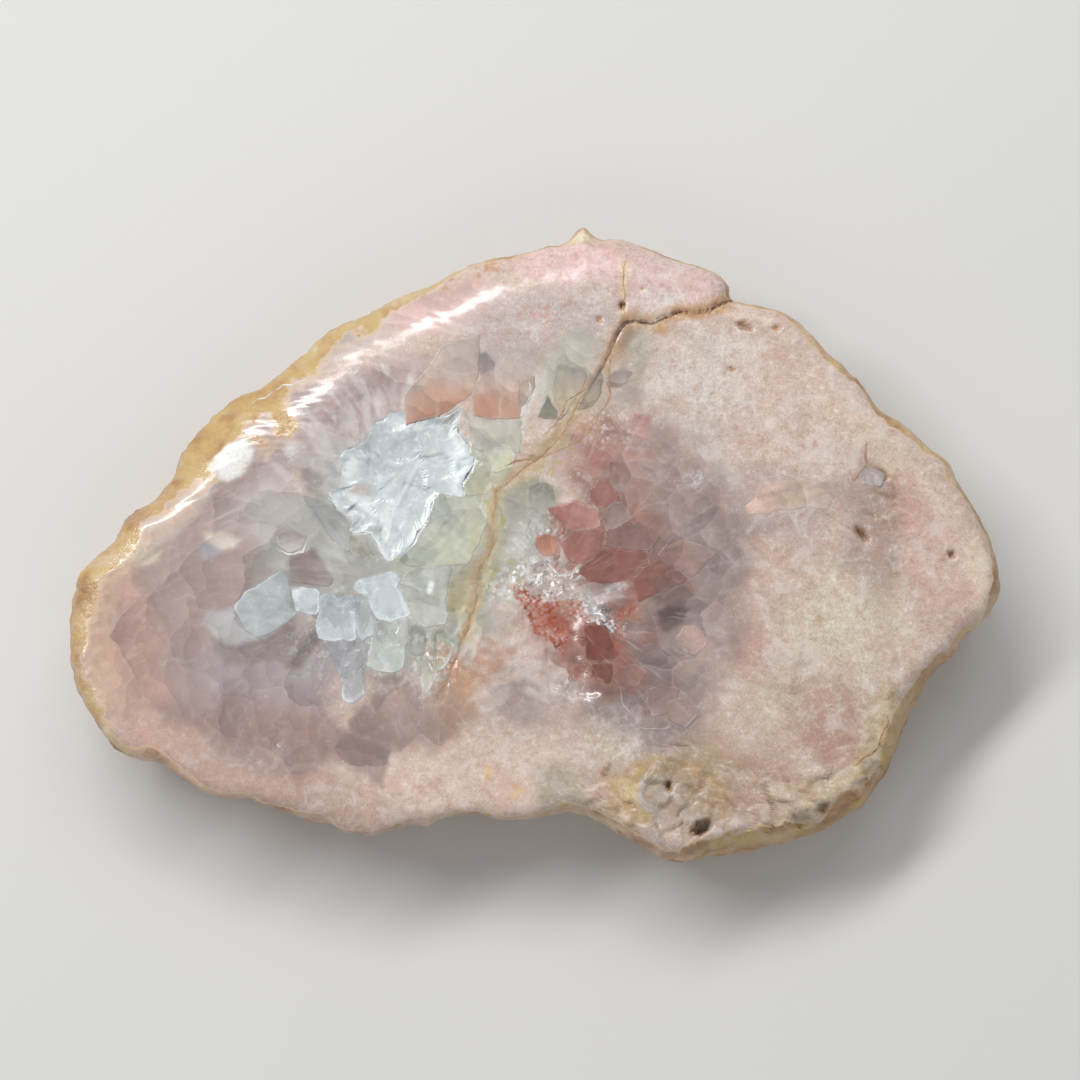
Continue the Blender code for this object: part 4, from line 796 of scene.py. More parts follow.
LINES: dict[str, Line] = {
    "vein_halo": Line(((3, 12.5), (1, 10), (-3, 7), (-5, 5.5), (-5.2, 2.5), (-5.4, -1), (-6.2, -3),
        (-7.2, -4.5), (-7.6, -8.5), (-8.5, -12.5)), 1.5, "B9AA82", 0.65, 0.7),
    "vein_band": Line(((8.6, 22), (6.4, 18.6), (4.5, 15), (3, 12.5), (1, 10), (-3, 7), (-5, 5.5),
        (-5.3, 2.5), (-5.5, -1), (-6.3, -3), (-7.3, -4.5), (-7.7, -8.5), (-8.6, -12.5)), 0.7,
        "BB9A78", 0.6, 0.9),
    "vein_root": Line(((9.5, 23.5), (7, 19), (4.5, 14.5), (1.5, 10.5)), 1, "B39C78", 0.55, 0.9),
    # Painted shade and stain: the dark brown lines in the crack stand for the shadow under the step
    # between the lobes and for the crack's brown stain.
    "open_crack": Line(((14.3, 26.95), (13.6, 27.15), (12.6, 27.45), (11.3, 27.15), (10.6, 26.4),
        (10.2, 25.4)), 0.42, "553620", 1, 0.7, 0.1, 0.95),
    "closed_crack": Line(((24.8, 30.3), (22, 28.9), (20, 28.5), (18, 28.5), (16.4, 27.85),
        (14.2, 26.95)), 0.24, "80522E", 0.9, 0.8, 0.1, 0.95),
    "crack_lip": Line(((25.4, 30.2), (22, 28.5), (20, 28.1), (18.1, 28.1), (16.4, 27.4),
        (14.4, 26.6)), 0.7, "B98A55", 0.75, 0.9),
    "vein_orange": Line(((10, 24), (7.5, 20.5), (6, 18), (4.5, 15), (3, 12.5), (1, 10), (-3, 7),
        (-5, 5.5), (-5.2, 2.5), (-5.4, -1), (-6.2, -3), (-7.2, -4.5), (-7.6, -8.5), (-8.5, -12.5),
        (-9.7, -15), (-12.2, -21)), 0.2, "B28A62", 0.8, 0.9),
    "vein_twin": Line(((9.5, 23.5), (9.2, 18), (8.5, 16), (7, 13.5), (4.5, 11.5), (1, 9.5)), 0.24,
        "B9906E", 0.7, 0.9),
    "vein_third": Line(((9, 21.6), (6.8, 19.4), (4.6, 17.4), (2.2, 13.8), (0.6, 12.2)), 0.2,
        "B07E58", 0.7, 0.9),
    "vein_branch": Line(((0.8, 9.8), (-0.8, 9.2), (-2.6, 9), (-4.2, 8.2)), 0.22, "A98056", 0.7,
        0.9),
    "vein_loop": Line(((-5.2, 4.4), (-4.4, 2.2), (-4.8, -0.4), (-6, -2.6)), 0.2, "BE9468", 0.7,
        0.9),
    "vein_foot": Line(((-7.6, -8.6), (-8.2, -10.6), (-9, -13)), 0.34, "C08E5C", 0.8, 0.9),
    "vein_cream": Line(((-2.2, 14.5), (-0.5, 17.5), (-1, 20)), 0.25, "D6CDC4", 0.6),
    "hair_crack": Line(((11.5, 36), (11.1, 34), (11, 32), (11.2, 30.5), (10.9, 29.3), (11.1, 27.6)),
        0.14, "A98256", 0.8, 0.8, 0.15),
    "hair_halo": Line(((11.3, 35), (11.1, 32.5), (11.1, 30.5), (11.2, 28.6)), 0.7, "D6BC98", 0.75,
        0.8),
    "tent_left": Line(((0.8, -3.4), (-1.3, -4.2), (-0.9, -5.4), (0.2, -6)), 0.26, "EEF1F1", 0.9,
        0.8, 0.1),
    "tent_right": Line(((0.9, -3.3), (1.9, -4.2), (2.9, -5.3), (4.3, -5.2), (5.5, -4.2)), 0.24,
        "EEF0F0", 0.9, 0.8, 0.1),
    "brown_squiggle": Line(((41.2, 11.9), (41.5, 8.9), (39.8, 6.8), (39, 8)), 0.35, "A58375", 0.7),
    "brown_tail": Line(((41.8, 8.4), (43.9, 7), (44.2, 5.5)), 0.7, "A88A7D", 0.7),
    "rind_vein": Line(((44, -22.5), (43.2, -25), (41.5, -27.5), (39.5, -29)), 0.3, "9A7048", 0.7),
    "pink_streak": Line(((-1.3, -9.9), (-0.1, -13.4), (1.2, -18.4), (3, -23.4), (5.5, -28.4),
        (6.9, -32.1)), 1.5, "C6ACA2", 0.8, 0.4),
    "pale_fracture": Line(((10.4, -19.6), (11.2, -21.6), (12, -23.6)), 0.2, "C2B7B3", 0.8),
    "pale_fracture_low": Line(((12, -23.8), (15.5, -24.6), (17.6, -23.8)), 0.18, "BDB1AC", 0.7),
    "shard_edge": Line(((35.8, 3), (38.5, 1.2), (40.2, 0.2)), 0.2, "C2A795", 0.6),
    "crack_root": Line(((10.4, 25.8), (9.6, 24), (8.7, 21.8), (7.2, 19)), 0.16, "8A6C50", 0.8, 0.9,
        0.2, 0.9),
    # Painted highlight: a bright line along the cream drop's lower edge.
    "cream_drop_edge": Line(((-32.4, -1.4), (-31, -2.6), (-29.4, -2.2), (-28.6, -0.8)), 0.4,
        "E3DDDA", 0.9),
    "left_glare": Line(((-35.8, 16.8), (-33.2, 18.4), (-28, 20.4)), 0.25, "E2DEDC", 0.8),
    "grey_lobe_edge": Line(((12.5, -29), (14.8, -28.2), (19.2, -29.2), (22.5, -31.5), (23.2, -35)),
        0.9, "B5945F", 0.6, 0.9),
    "lobe_edge_low": Line(((12.5, -29), (12, -32.5), (13.5, -35.5)), 0.9, "C2A566", 0.6, 0.9),
}

GRAINS: dict[str, Grains] = {
    "rust_band": Grains((1.6, -10.4), (5.6, 2.1), -47, "A5503C", 0.9, 0.55, 0.62),
    "rust_heart": Grains((3.4, -12), (2.2, 2.4), -60, "973F2C", 0.9, 0.45, 0.55),
    "rust_wine": Grains((8.8, -14.6), (2.4, 2.2), -30, "A54F38", 0.7, 0.4, 0.5),
    "orange_mote": Grains((4.2, -9.4), (1.6, 1.2), 0, "C4885F", 0.8, 0.5, 0.6),
    "tan_root": Grains((-5.6, -16), (2, 2.6), 20, "C08263", 0.8, 0.9, 0.6),
    "ochre_lobe": Grains((15, -29), (5.5, 2.6), 0, "B08A4F", 0.6, 1.3, 0.42),
    "ochre_foot": Grains((10.5, -33), (3.2, 3.5), -35, "BF9C58", 0.5, 1.1, 0.45),
    "ochre_low_right": Grains((38, -32.5), (7.5, 3.5), 35, "B4955A", 0.45, 1.2, 0.4),
    "ochre_right": Grains((42.5, -25), (2.6, 7), -15, "B4955A", 0.65, 1.1, 0.45),
    "yellow_foot": Grains((-5.5, -31.5), (9, 3.2), 0, "D9B377", 0.7, 1.4, 0.3),
    "freckles": Grains((22.5, 12.5), (7.5, 6.5), -35, "BB8468", 0.55, 0.5, 0.3),
    "freckles_right": Grains((30, 8), (9, 5), -20, "B98A74", 0.4, 0.6, 0.28),
    "olive_vein": Grains((-5.2, 3), (1.4, 5), 0, "B3A860", 0.75, 0.8, 0.5),
    "olive_low": Grains((-4, -5.5), (2.6, 2.2), -20, "B8AC78", 0.85, 0.9, 0.6),
    "yellow_root": Grains((2, 9.5), (3, 2.2), 30, "B79C58", 0.7, 0.9, 0.5),
    "sugar_red": Grains((0.8, 27.6), (1.8, 1.4), 0, "C58A7F", 0.7, 0.7, 0.5),
    "rim_rust": Grains((-8, 34), (7, 1.4), 22, "B98552", 0.8, 0.9, 0.5),
}

@dataclass(frozen=True)
class Comb:
    """Soft parallel fibres of silky quartz that run off a path, as colour in the stone."""

    start: Spot
    end: Spot
    toward: Spot
    count: int
    length: float
    hue: str
    strength: float = 0.32
    width: float = 0.6

    def hairs(self) -> list[Line]:
        """One line for each hair, with its own length and lean."""
        dice = np.random.default_rng(self.count)
        share = (np.arange(self.count) + dice.uniform(-0.3, 0.3, self.count)) / self.count
        start, end = np.array(self.start), np.array(self.end)
        roots = start + (end - start) * share[:, None] + dice.normal(0.0, 0.5, (self.count, 2))
        ways = np.array(self.toward) - roots
        ways /= np.hypot(*ways.T)[:, None]
        ways += dice.normal(0.0, 0.10, (self.count, 2))
        tips = roots + ways * (self.length * dice.uniform(0.4, 1.1, self.count))[:, None]
        middles = (roots + tips) / 2.0 + dice.normal(0.0, 0.12, (self.count, 2))
        return [
            Line((tuple(root), tuple(middle), tuple(tip)), self.width, self.hue, self.strength, 0.3)
            for root, middle, tip in zip(roots, middles, tips)
        ]


COMBS: tuple[Comb, ...] = (
    Comb((-12, -14.5), (-7.5, -17.5), (-9, -26), 12, 4, "BE9274", 0.5),
    Comb((-7.5, -13.5), (-7, -22), (3, -15), 18, 4.5, "D8CAC0"),
    Comb((-7, -14), (-7, -20), (3, -17), 8, 4, "B98A6E", 0.5),
    Comb((9.2, -12.1), (13.8, -8.8), (14.6, -8), 7, 2, "A66E50"),
    Comb((0, -13), (3, -22), (-14, -18), 12, 4.5, "D6C8C2"),
    Comb((0.8, -13), (2.6, -20), (14, -19), 8, 2.6, "D6CBC6", 0.3),
    Comb((-33, 10.5), (-14.5, 20.5), (-19, -2), 26, 5, "D2CAC8", 0.42),
    Comb((-26, 6), (-22, 12.5), (-17, 3), 10, 3.6, "DAD7D6"),
    Comb((-27, -3), (-22, 3.5), (-17, -4), 8, 3.5, "CDCECB"),
    Comb((9, -22.5), (14.5, -20.5), (12, -27), 7, 2.6, "D0C4C0", 0.2),
    Comb((-1.5, 16), (1.5, 21.5), (-2.5, 10), 8, 4, "DAD8CE"),
    Comb((-3, -1.5), (-4.5, -9.5), (4, -5), 10, 3, "D6D4C8", 0.2),
)

FROSTED: Beds = (
    (-15.5, 5, 11.5, 11, 0, 0.45), (-22, -12.5, 9, 7.5, 0, 0.5), (-27, 12, 8, 4, 25, 0.3),
    (-13.5, -16.5, 4, 5, 0, 0.6), (0.5, -5.5, 5.5, 3.6, -10, 0.75), (-3.8, -3.5, 2.6, 5, 0, 0.15),
    (6.4, -9.4, 4, 1.8, -30, 0.5), (3.6, -19, 3, 2, 0, 0.25), (-0.5, 16.5, 3.4, 4, 0, 0.3),
    (3.5, 8, 3.5, 2, 20, 0.45), (19.5, 6.8, 2.8, 1, 15, 0.7), (11, -26, 6, 3, 0, 0.2),
)

RUDDY: Beds = (
    (10.4, 6.6, 4.6, 7, 0, 0.6), (9, -2.5, 8.5, 5, -15, 1), (7, -14, 6.5, 5, -40, 1),
)

RUSTY: Beds = (
    (-0.8, -8.6, 2.4, 1.2, -45, 0.8), (1.4, -11, 3.4, 1.6, -50, 1), (3, -13.4, 2.2, 1.3, -55, 0.9),
    (4.4, -9.2, 1.7, 1.3, 0, 0.4), (8, -14, 2.6, 2.4, 0, 0.4), (8.6, -17.6, 2.2, 1.6, 0, 0.3),
    (11.2, -9.8, 2.6, 1, 35, 0.45), (2.2, 1.8, 1.6, 1.2, 0, 0.35), (12, -5.6, 2.2, 1.6, 0, 0.3),
    (6.4, 13.2, 1.6, 1, 0, 0.3),
)

SUGARED: Beds = (
    (0.6, -5.8, 5.2, 2.4, -8, 0.85), (2, 1, 5, 2, 30, 0.45), (6.6, -9.8, 4, 1.8, -30, 0.7),
    (-4.2, -7, 2.8, 2.8, 0, 0.4), (-12, -16, 2.8, 3, 0, 0.45), (4.2, -19.2, 3, 1.8, 0, 0.35),
    (-8, 9, 3, 5.5, 0, 0.45), (8.5, 13.5, 3.5, 2.5, 0, 0.35), (10, -25.5, 5.5, 3.2, 0, 0.25),
)

# Painted highlights: each row places small bright white points where the druse glints, and sets
# their size.
WHITE_GLINTS: tuple[tuple[float, float, float], ...] = (
    (-13.1, -6.6, 0.5), (-17.8, -0.8, 0.3), (-23, 6.7, 0.35), (-10, 8.4, 0.45),
    (-22.7, -19.7, 0.55), (-6.2, 6.3, 0.4), (-9.4, -4.1, 0.2), (-44.3, -10.2, 0.35),
    (-29.5, -14.2, 0.3), (-33.5, -20.9, 0.35), (-31.6, -26.5, 0.4), (-23.5, -28.7, 0.35),
    (-40.5, -31, 0.5), (-12.8, -18.4, 0.4), (-11.1, -14.6, 0.45), (-28.4, -9.2, 0.45),
    (-27, -9.9, 0.4), (-34.6, -6.2, 0.3), (-24.6, -8.4, 0.5), (-22.6, -9.2, 0.4), (2.7, -4.5, 0.4),
    (1.3, -3.4, 0.35), (3.6, -2.9, 0.3), (-0.3, -6.3, 0.45), (0.5, -5.6, 0.5), (1.8, -7.1, 0.5),
    (4.9, -0.8, 0.3), (8.7, 5.3, 0.25), (20.5, 7, 0.45), (19, 6.8, 0.35), (6.8, -2.1, 0.2),
    (13, -2.5, 0.25), (4.5, -8.4, 0.45), (5.8, -9.9, 0.45), (8.5, -11.2, 0.4), (3.8, -13.4, 0.35),
    (8.1, -9.7, 0.3), (0.5, -10.9, 0.25), (2, -12.4, 0.25), (10, -11.9, 0.3), (-4.4, -6.5, 0.35),
    (-2.9, -7.4, 0.35), (10.5, 8.1, 0.25), (10.3, 13.4, 0.3), (3.3, -19.4, 0.45), (5, -18.6, 0.35),
    (7.9, -25.9, 0.3),
)


# ---------------------------------------------------------------- the shape of the face


@dataclass
class FaceReading:
    """The fields of the face at each place, shared by its shape and its colour."""

    places: np.ndarray
    direction: np.ndarray
    rim_gap: np.ndarray
    crack: PathReading
    vein: PathReading
    druse: np.ndarray
    ledge: np.ndarray
    fine_cells: CellReading
    chips: CellReading
    rocky: np.ndarray
    shards: dict[str, tuple[Shard, np.ndarray, np.ndarray]]
    pits: np.ndarray


@dataclass
class FaceShape:
    """The polished face as a height over the slice's plane, in millimetres.

    Height = low crown - shoulder + step and crack between the lobes - vein - broken ledge -
    pits - druse, where the druse is filled by crystals that reach part of the way up.
    """

    rim: Rim
    thickness: float = 14.0
    crown: float = 0.8
    half_length: float = 58.0
    half_width: float = 40.5
    crack_path: tuple[Spot, ...] = (
        (26, 31.2), (24.5, 30.2), (22, 28.9), (20, 28.5), (18, 28.5), (16.4, 27.8), (14.4, 27),
        (12.6, 27.4), (11.2, 27.1), (10.3, 25.6), (9.5, 24), (8, 21), (6.5, 18), (5, 16.5),
        (3.5, 15),
    )
    crack_depth: float = 0.35
    crack_half_width: float = 0.32
    crack_fade: float = 0.4
    step_up: float = 0.28
    step_down: float = 0.2
    step_reach: float = 7.0
    vein_path: tuple[Spot, ...] = (
        (3.5, 15), (2.5, 12), (1, 9.8), (-3, 7), (-5, 5.5), (-5, 1), (-6, -3), (-7.5, -8.5),
        (-8.5, -12.5), (-9.5, -15), (-12, -21),
    )
    vein_depth: float = 0.1
    vein_half_width: float = 0.8
    pits: Beds = (
        (26.2, 26.6, 1.4, 0.5, -25, 0.6), (30.2, 26.4, 0.6, 0.5, 0, 0.4),
        (24.6, 21, 0.4, 0.4, 0, 0.3), (10.9, 29.3, 0.45, 0.55, 0, 0.8),
        (8, 27.3, 0.5, 0.6, 0, 0.25), (13.4, 31.4, 0.5, 0.35, 0, 0.2),
        (40.6, 0, 1.5, 0.5, -52, 0.9), (43.5, 7.5, 1.2, 0.6, -30, 0.4),
        (51.8, -2.5, 0.7, 0.45, -60, 0.8), (20.5, -36.7, 1.6, 0.9, 40, 1.8),
        (16.4, -31.5, 0.45, 0.9, 5, 0.9), (35.4, -34.2, 0.9, 0.6, 20, 0.7),
    )
    ledge_depth: float = 0.45
    left_middle: Spot = (-19.0, -6.0)
    right_middle: Spot = (1.5, -7.0)
    growth_radius: float = 15.0
    growth_stretch: float = 1.45
    druse_outline: tuple[Spot, ...] = (
        (-26, -4.5), (-18.5, -5.5), (-12, 3), (-6.5, 5), (3, 14), (13, 14.5), (19, 7), (20, -4),
        (16, -13), (10.5, -22), (2, -23), (-4, -16), (-11, -22), (-23.5, -24),
    )
    druse_depth: float = 0.6
    druse_bank: float = 2.2
    fine_size: float = 1.15
    streak_height: float = 0.035
    hollows: Beds = (
        (-19, -11.5, 7.5, 6, 0, 1), (3, -7.5, 8.5, 4.5, -25, 1), (5.5, -17.5, 4.5, 3.5, 0, 1),
        (-8.8, 8.8, 1.2, 3, 0, 1),
    )
    rocky: Beds = (
        (15, -33, 9, 6.5, 0, 1), (31, -35, 11, 5.5, 15, 1), (43.5, -27, 3.5, 8.5, -15, 1),
        (44, 3, 2.6, 7, 5, 1),
    )

    def read(self, places: np.ndarray) -> FaceReading:
        """Works out every field of the face once, for its shape and its colour alike."""
        wobble = swirl(places, 1.6, (31, 37)) * 0.22
        shards = {}
        for name, shard in SHARDS.items():
            corners = np.array(shard.corners)
            near = rows_near(places, corners, 1.5)
            shards[name] = (shard, near, depth_inside(places[near] + wobble[near], corners))
        pits, uneven = np.zeros(len(places)), 0.25 * cloud(places, 0.9, 53)
        for x, y, length, width, turn, depth in self.pits:
            reach = ellipse_reach(places, (x, y), (length, width), turn)
            pits = np.maximum(pits, depth * ease(reach + uneven, 1.15, 0.45))
        ledge = np.full(len(places), -9.0)
        ledge[shards["white_break"][1]] = shards["white_break"][2]
        return FaceReading(
            places=places,
            direction=self.rim.directions(places),
            rim_gap=read_path(places, self.rim.curve[::2], closed=True).gap,
            crack=read_path(places + wobble, np.array(self.crack_path)),
            vein=read_path(places + wobble * 1.5, np.array(self.vein_path)),
            druse=depth_inside(places + wobble * 2.0, np.array(self.druse_outline)),
            ledge=ledge,
            fine_cells=read_cells(places, self.fine_size, 83),
            chips=read_cells(places, 2.6, 68, 0.2),
            rocky=strewn(places, self.rocky, 0.8, cloud(places, 3.0, 75, 3)),
            shards=shards,
            pits=pits,
        )

    def plane(self, places: np.ndarray, direction: np.ndarray, rim_gap: np.ndarray,
              crack: PathReading) -> np.ndarray:
        """The polished surface alone: low crown, rounded shoulder, and a step at the crack.

        The shoulder is a quarter of an ellipse, as wide and as deep as the rim's table says.
        """
        spread = (places[:, 0] / self.half_length) ** 2 + (places[:, 1] / self.half_width) ** 2
        height = self.thickness + self.crown * (1.0 - np.clip(spread, 0.0, 1.0))
        inward = np.clip(1.0 - rim_gap / self.rim.column(direction, "width"), 0.0, 1.0)
        round_off = 1.0 - np.sqrt(np.clip(1.0 - inward**2, 0.0, 1.0))
        height -= self.rim.column(direction, "drop") * round_off
        strength = np.clip((1.0 - crack.along) / (1.0 - self.crack_fade), 0.0, 1.0)
        step = np.where(crack.side < 0.0, self.step_up, -self.step_down)
        return height + strength * step * np.exp(-crack.gap / self.step_reach)

    def polish(self, places: np.ndarray) -> np.ndarray:
        """The height of the polished surface over any places, hollows and pits left out."""
        gap = read_path(places, self.rim.curve[::2], closed=True).gap
        crack = read_path(places, np.array(self.crack_path))
        return self.plane(places, self.rim.directions(places), gap, crack)

    def surface(self, places: np.ndarray) -> np.ndarray:
        """The height of the face over any places, with all its relief."""
        return self.height(self.read(places))

    def top(self, places: np.ndarray) -> np.ndarray:
        """The height of the face, or of the cut crystal that stands there."""
        reading = self.read(places)
        height, polish = self.height(reading), self.polish(places)
        for shard, near, inside in reading.shards.values():
            if shard.is_crisp:
                covered = near[inside > -0.3]
                height[covered] = np.maximum(height[covered], polish[covered] - shard.sunk + 0.055)
        return height

    def growth(self, places: np.ndarray) -> np.ndarray:
        """Crystals grow in from the rind towards two middles, one on each side of the vein.

        Returns:
            For each place, the way round its own middle and the way out from it, in millimetres
            at the middle radius, and 0.
        """
        vein = np.array(self.vein_path[::-1])
        left = places[:, 0] < np.interp(places[:, 1], vein[:, 1], vein[:, 0])
        away = places - np.where(left[:, None], self.left_middle, self.right_middle)
        turn = np.arctan2(away[:, 1], away[:, 0])
        turn = np.where(left, np.mod(turn, 2.0 * math.pi) + 20.0, turn)
        out = np.hypot(away[:, 0], away[:, 1])
        grow = np.column_stack([turn * self.growth_radius, out / self.growth_stretch, 0.0 * out])
        grow[:, :2] += 0.3 * swirl(places, 1.8, (71, 73))
        return grow

    def hollow(self, reading: FaceReading) -> np.ndarray:
        """How deep the druse's floor lies, from 0 at the polish to 1: open only in its hollows.

        The healed vein stands as a wall up to the polish between them.
        """
        share = strewn(reading.places, self.hollows, 0.8, cloud(reading.places, 3.0, 73))
        share = np.maximum(share, 0.12) * ease(reading.vein.gap, 0.5, 1.8)
        for shard, near, inside in reading.shards.values():
            if shard.is_crisp:
                share[near] *= ease(inside, -0.2, -1.5)
        return share * (0.85 + 0.25 * cloud(reading.places, 1.8, 79, 3))

    def height(self, reading: FaceReading) -> np.ndarray:
        """The height of the face at each place, in millimetres."""
        places, crack, gap = reading.places, reading.crack, reading.rim_gap
        height = self.plane(places, reading.direction, gap, crack)
        groove = ease(crack.gap, self.crack_half_width, 0.0)
        height -= self.crack_depth * (0.05 + 0.95 * ease(crack.along, 0.75, 0.55)) * groove
        height -= self.vein_depth * ease(reading.vein.gap, self.vein_half_width, 0.0)
        height -= self.ledge_depth * ease(reading.ledge, 0.0, 0.45)
        shell = reading.fine_cells.slope * 0.05 + 0.08 * cloud(places, 3.5, 61, 3)
        height += ease(reading.ledge, 0.2, 1.0) * shell
        depth = self.druse_depth * np.clip(reading.druse / self.druse_bank, 0.0, 1.0)
        height -= depth * self.hollow(reading)
        drop = self.rim.column(reading.direction, "drop")
        chipped = np.clip((drop - 5.0) / 2.5, 0.0, 1.0) * ease(gap, 3.4, 1.2)
        lumps = 0.6 * cloud(places, 1.9, 67, 4) + 0.5 * reading.chips.slope
        lumps -= 0.2 * ease(reading.chips.border, 0.3, 0.0)
        height += np.maximum(chipped, 0.34 * reading.rocky) * lumps
        along = reading.direction * 0.9
        streaks = cloud(np.stack([along / 5.0, (gap + along * 0.5) / 0.7], axis=1), 1.0, 69)
        height += self.streak_height * streaks * ease(gap, 14.0, 8.0)
        return height - reading.pits


# ---------------------------------------------------------------- the colour of the face


@dataclass
class FacePainter:
    """Lays the stone's colours over the fields of its face, softest first."""

    shape: FaceShape
    ground: str = "C9B3A6"
    ring_cream: str = "CDAE93"
    fibre_white: str = "D2CCCB"
    lip_tan: str = "BD9462"
    crevice_brown: str = "8C6E4C"
    pit_tan: str = "AA7F55"
    pit_brown: str = "654428"

    def paint_fields(self, canvas: np.ndarray, chalk: np.ndarray, reading: FaceReading) -> None:
        """The soft fields, each with its own chalk, and faint clouds over all of them."""
        push = cloud(reading.places, 4.2, 91, 5)
        for wash in WASHES.values():
            cover = wash.cover(reading.places, push)
            lay(canvas, wash.hue, cover)
            chalk += (wash.chalk - chalk) * cover
        canvas *= (1.0 + 0.07 * cloud(reading.places, 3.2, 95, 4))[:, None]

    def paint_rim(self, canvas: np.ndarray, reading: FaceReading) -> None:
        """A cream fringe of fibres inside the rind at the left, and lilac-white fibres above."""
        gap, direction = reading.rim_gap, reading.direction
        comb = 0.5 + 0.5 * cloud(np.stack([direction * 1.1, gap * 0.35], axis=1), 1.0, 101, 3)
        left = ease(np.abs(np.abs(direction) - 180.0), 34.0, 14.0)
        fringe = ease(gap, 6.2, 4.2) * ease(gap, 1.5, 2.6)
        lay(canvas, self.ring_cream, left * fringe * (0.35 + 0.6 * comb))
        above = ease(np.abs(direction - 128.0), 26.0, 12.0)
        band = ease(gap, 15.0, 9.0) * ease(gap, 5.0, 7.5)
        lay(canvas, self.fibre_white, above * band * ease(comb, 0.55, 0.8) * 0.6)

    def paint_shards(self, canvas: np.ndarray, chalk: np.ndarray, frost: np.ndarray,
                     reading: FaceReading) -> None:
        """The stone under each cut crystal takes its hue, which shows where that is clear."""
        for shard, near, inside in reading.shards.values():
            places = reading.places[near]
            run, _, reach = shard.run(places)
            blur, fray = (0.25, 0.02) if shard.is_crisp else (0.5, 0.25)
            cover = ease(inside + fray * cloud(places, 1.0, 109, 4), -blur, blur)
            lay(canvas, shard.blend(run / reach), cover, near)
            chalk[near] += (shard.chalk - chalk[near]) * cover
            if not shard.is_crisp:
                frost[near] = np.maximum(frost[near], shard.frost * cover)

    def paint_grains(self, canvas: np.ndarray, reading: FaceReading) -> None:
        """Iron stains and freckles: noise above a threshold, inside soft ellipses."""
        for seed, grains in enumerate(GRAINS.values(), 131):
            wash = Wash(grains.centre, grains.radii, grains.turn, 0.8, grains.hue, 1.0)
            inside = wash.cover(reading.places, np.zeros(len(reading.places)))
            speck = cloud(reading.places, grains.size, seed, 3) * 0.5 + 0.5
            spread = ease(speck + 0.35 * (inside - 1.0), 1.0 - grains.share, 1.25 - grains.share)
            lay(canvas, grains.hue, grains.strength * spread * ease(inside, 0.0, 0.5))

    def paint_stains(self, canvas: np.ndarray, reading: FaceReading) -> None:
        """Broad marks along paths and the combs' hairs, ragged by noise along their sides."""
        ragged = cloud(reading.places, 1.1, 123, 4)
        for line in [*LINES.values(), *(hair for comb in COMBS for hair in comb.hairs())]:
            if line.is_soft:
                path = np.array(line.path)
                near = rows_near(reading.places, path, 2.5)
                gap = read_path(reading.places[near], path).gap
                gap = gap + line.width * line.ragged * ragged[near]
                cover = line.strength * ease(gap, line.width * 1.3, line.width * 0.2)
                lay(canvas, line.hue, cover, near)

    def paint_hollows(self, canvas: np.ndarray, reading: FaceReading) -> None:
        """Weathered tan along the crack's lips, dirt between lumps, and brown in the pits."""
        ragged = cloud(reading.places, 0.9, 121, 3)
        lips = ease(reading.crack.along, 0.85, 0.4)
        lips = lips * ease(reading.crack.gap + 0.5 * ragged, 1.6, 0.4)
        lay(canvas, self.lip_tan, lips * 0.75)
        crevice = ease(reading.chips.border, 0.4, 0.05)
        crevice *= ease(cloud(reading.places, 2.2, 77, 3), -0.3, 0.3)
        lay(canvas, self.crevice_brown, reading.rocky * crevice * 0.6)
        lay(canvas, self.pit_tan, ease(reading.pits, 0.01, 0.25) * 0.85)
        lay(canvas, self.pit_brown, ease(reading.pits, 0.3, 0.9) * 0.9)

    def paint(self, reading: FaceReading) -> dict[str, np.ndarray]:
        """Paints the whole face.

        Args:
            reading: the fields of the face at each vertex.

        Returns:
            The stone's marks: the tint in linear colour, the growth coordinates, and the
            others as shares from 0 to 1.
        """
        places, gap, rim = reading.places, reading.rim_gap, self.shape.rim

        def bed(beds: Beds, blur: float, seed: int) -> np.ndarray:
            """How thickly the face is strewn with one kind of mark."""
            return strewn(places, beds, blur, cloud(places, 2.4, seed, 3))

        canvas = np.tile(linear(self.ground), (len(places), 1))
        chalk, frost = np.full(len(places), 0.9), bed(FROSTED, 0.9, 161)
        self.paint_fields(canvas, chalk, reading)
        self.paint_rim(canvas, reading)
        self.paint_shards(canvas, chalk, frost, reading)
        self.paint_grains(canvas, reading)
        self.paint_stains(canvas, reading)
        self.paint_hollows(canvas, reading)
        uneven = np.clip(1.0 + 0.8 * cloud(places, 3.4, 151, 4), 0.15, 3.0)
        rind = ease(gap / (rim.column(reading.direction, "rind") * uneven + 0.05), 1.5, 0.5)
        _, snow, inside = reading.shards["snow_blob"]
        rind[snow] *= 1.0 - ease(inside, -0.6, 0.2)
        glass = (1.0 - ease(chalk, 0.25, 0.65)) * (1.0 - ease(reading.ledge, -0.3, 0.3))
        grow = self.shape.growth(places)
        out = ease(grow[:, 1] * self.shape.growth_stretch, 1.5, 5.0)
        right = ease(places[:, 0], -6.0, 2.0)
        ribs = cloud(np.stack([reading.direction * 0.9, gap * 0.4], axis=1), 1.0, 159, 3)
        return {
            "tint": canvas,
            "chalk": chalk,
            "sparkle": bed(SUGARED, 0.9, 143),
            "rind": rind,
            "iron": rim.column(reading.direction, "iron") + 0.35 * ribs,
            "frost": frost,
            "mosaic": glass * (0.8 + 0.3 * right) * out * (1.0 - 0.6 * frost),
            "edge": glass * (0.06 + 0.24 * right) * ease(cloud(places, 3.0, 157, 3), -0.1, 0.4),
            "ruddy": bed(RUDDY, 0.5, 167),
            "rust": bed(RUSTY, 0.7, 168),
            "grow": grow,
        }


# ---------------------------------------------------------------- materials

Socket = bpy.types.NodeSocket


def dress(tree: bpy.types.NodeTree, node: bpy.types.Node, values: dict) -> None:
    """Sets a node's attributes and inputs, by name or number, and links those given a socket."""
    for name, value in values.items():
        if isinstance(value, Socket):
            tree.links.new(value, node.inputs[name])
        elif isinstance(name, str) and hasattr(node, name):
            setattr(node, name, value)
        else:
            node.inputs[name].default_value = value


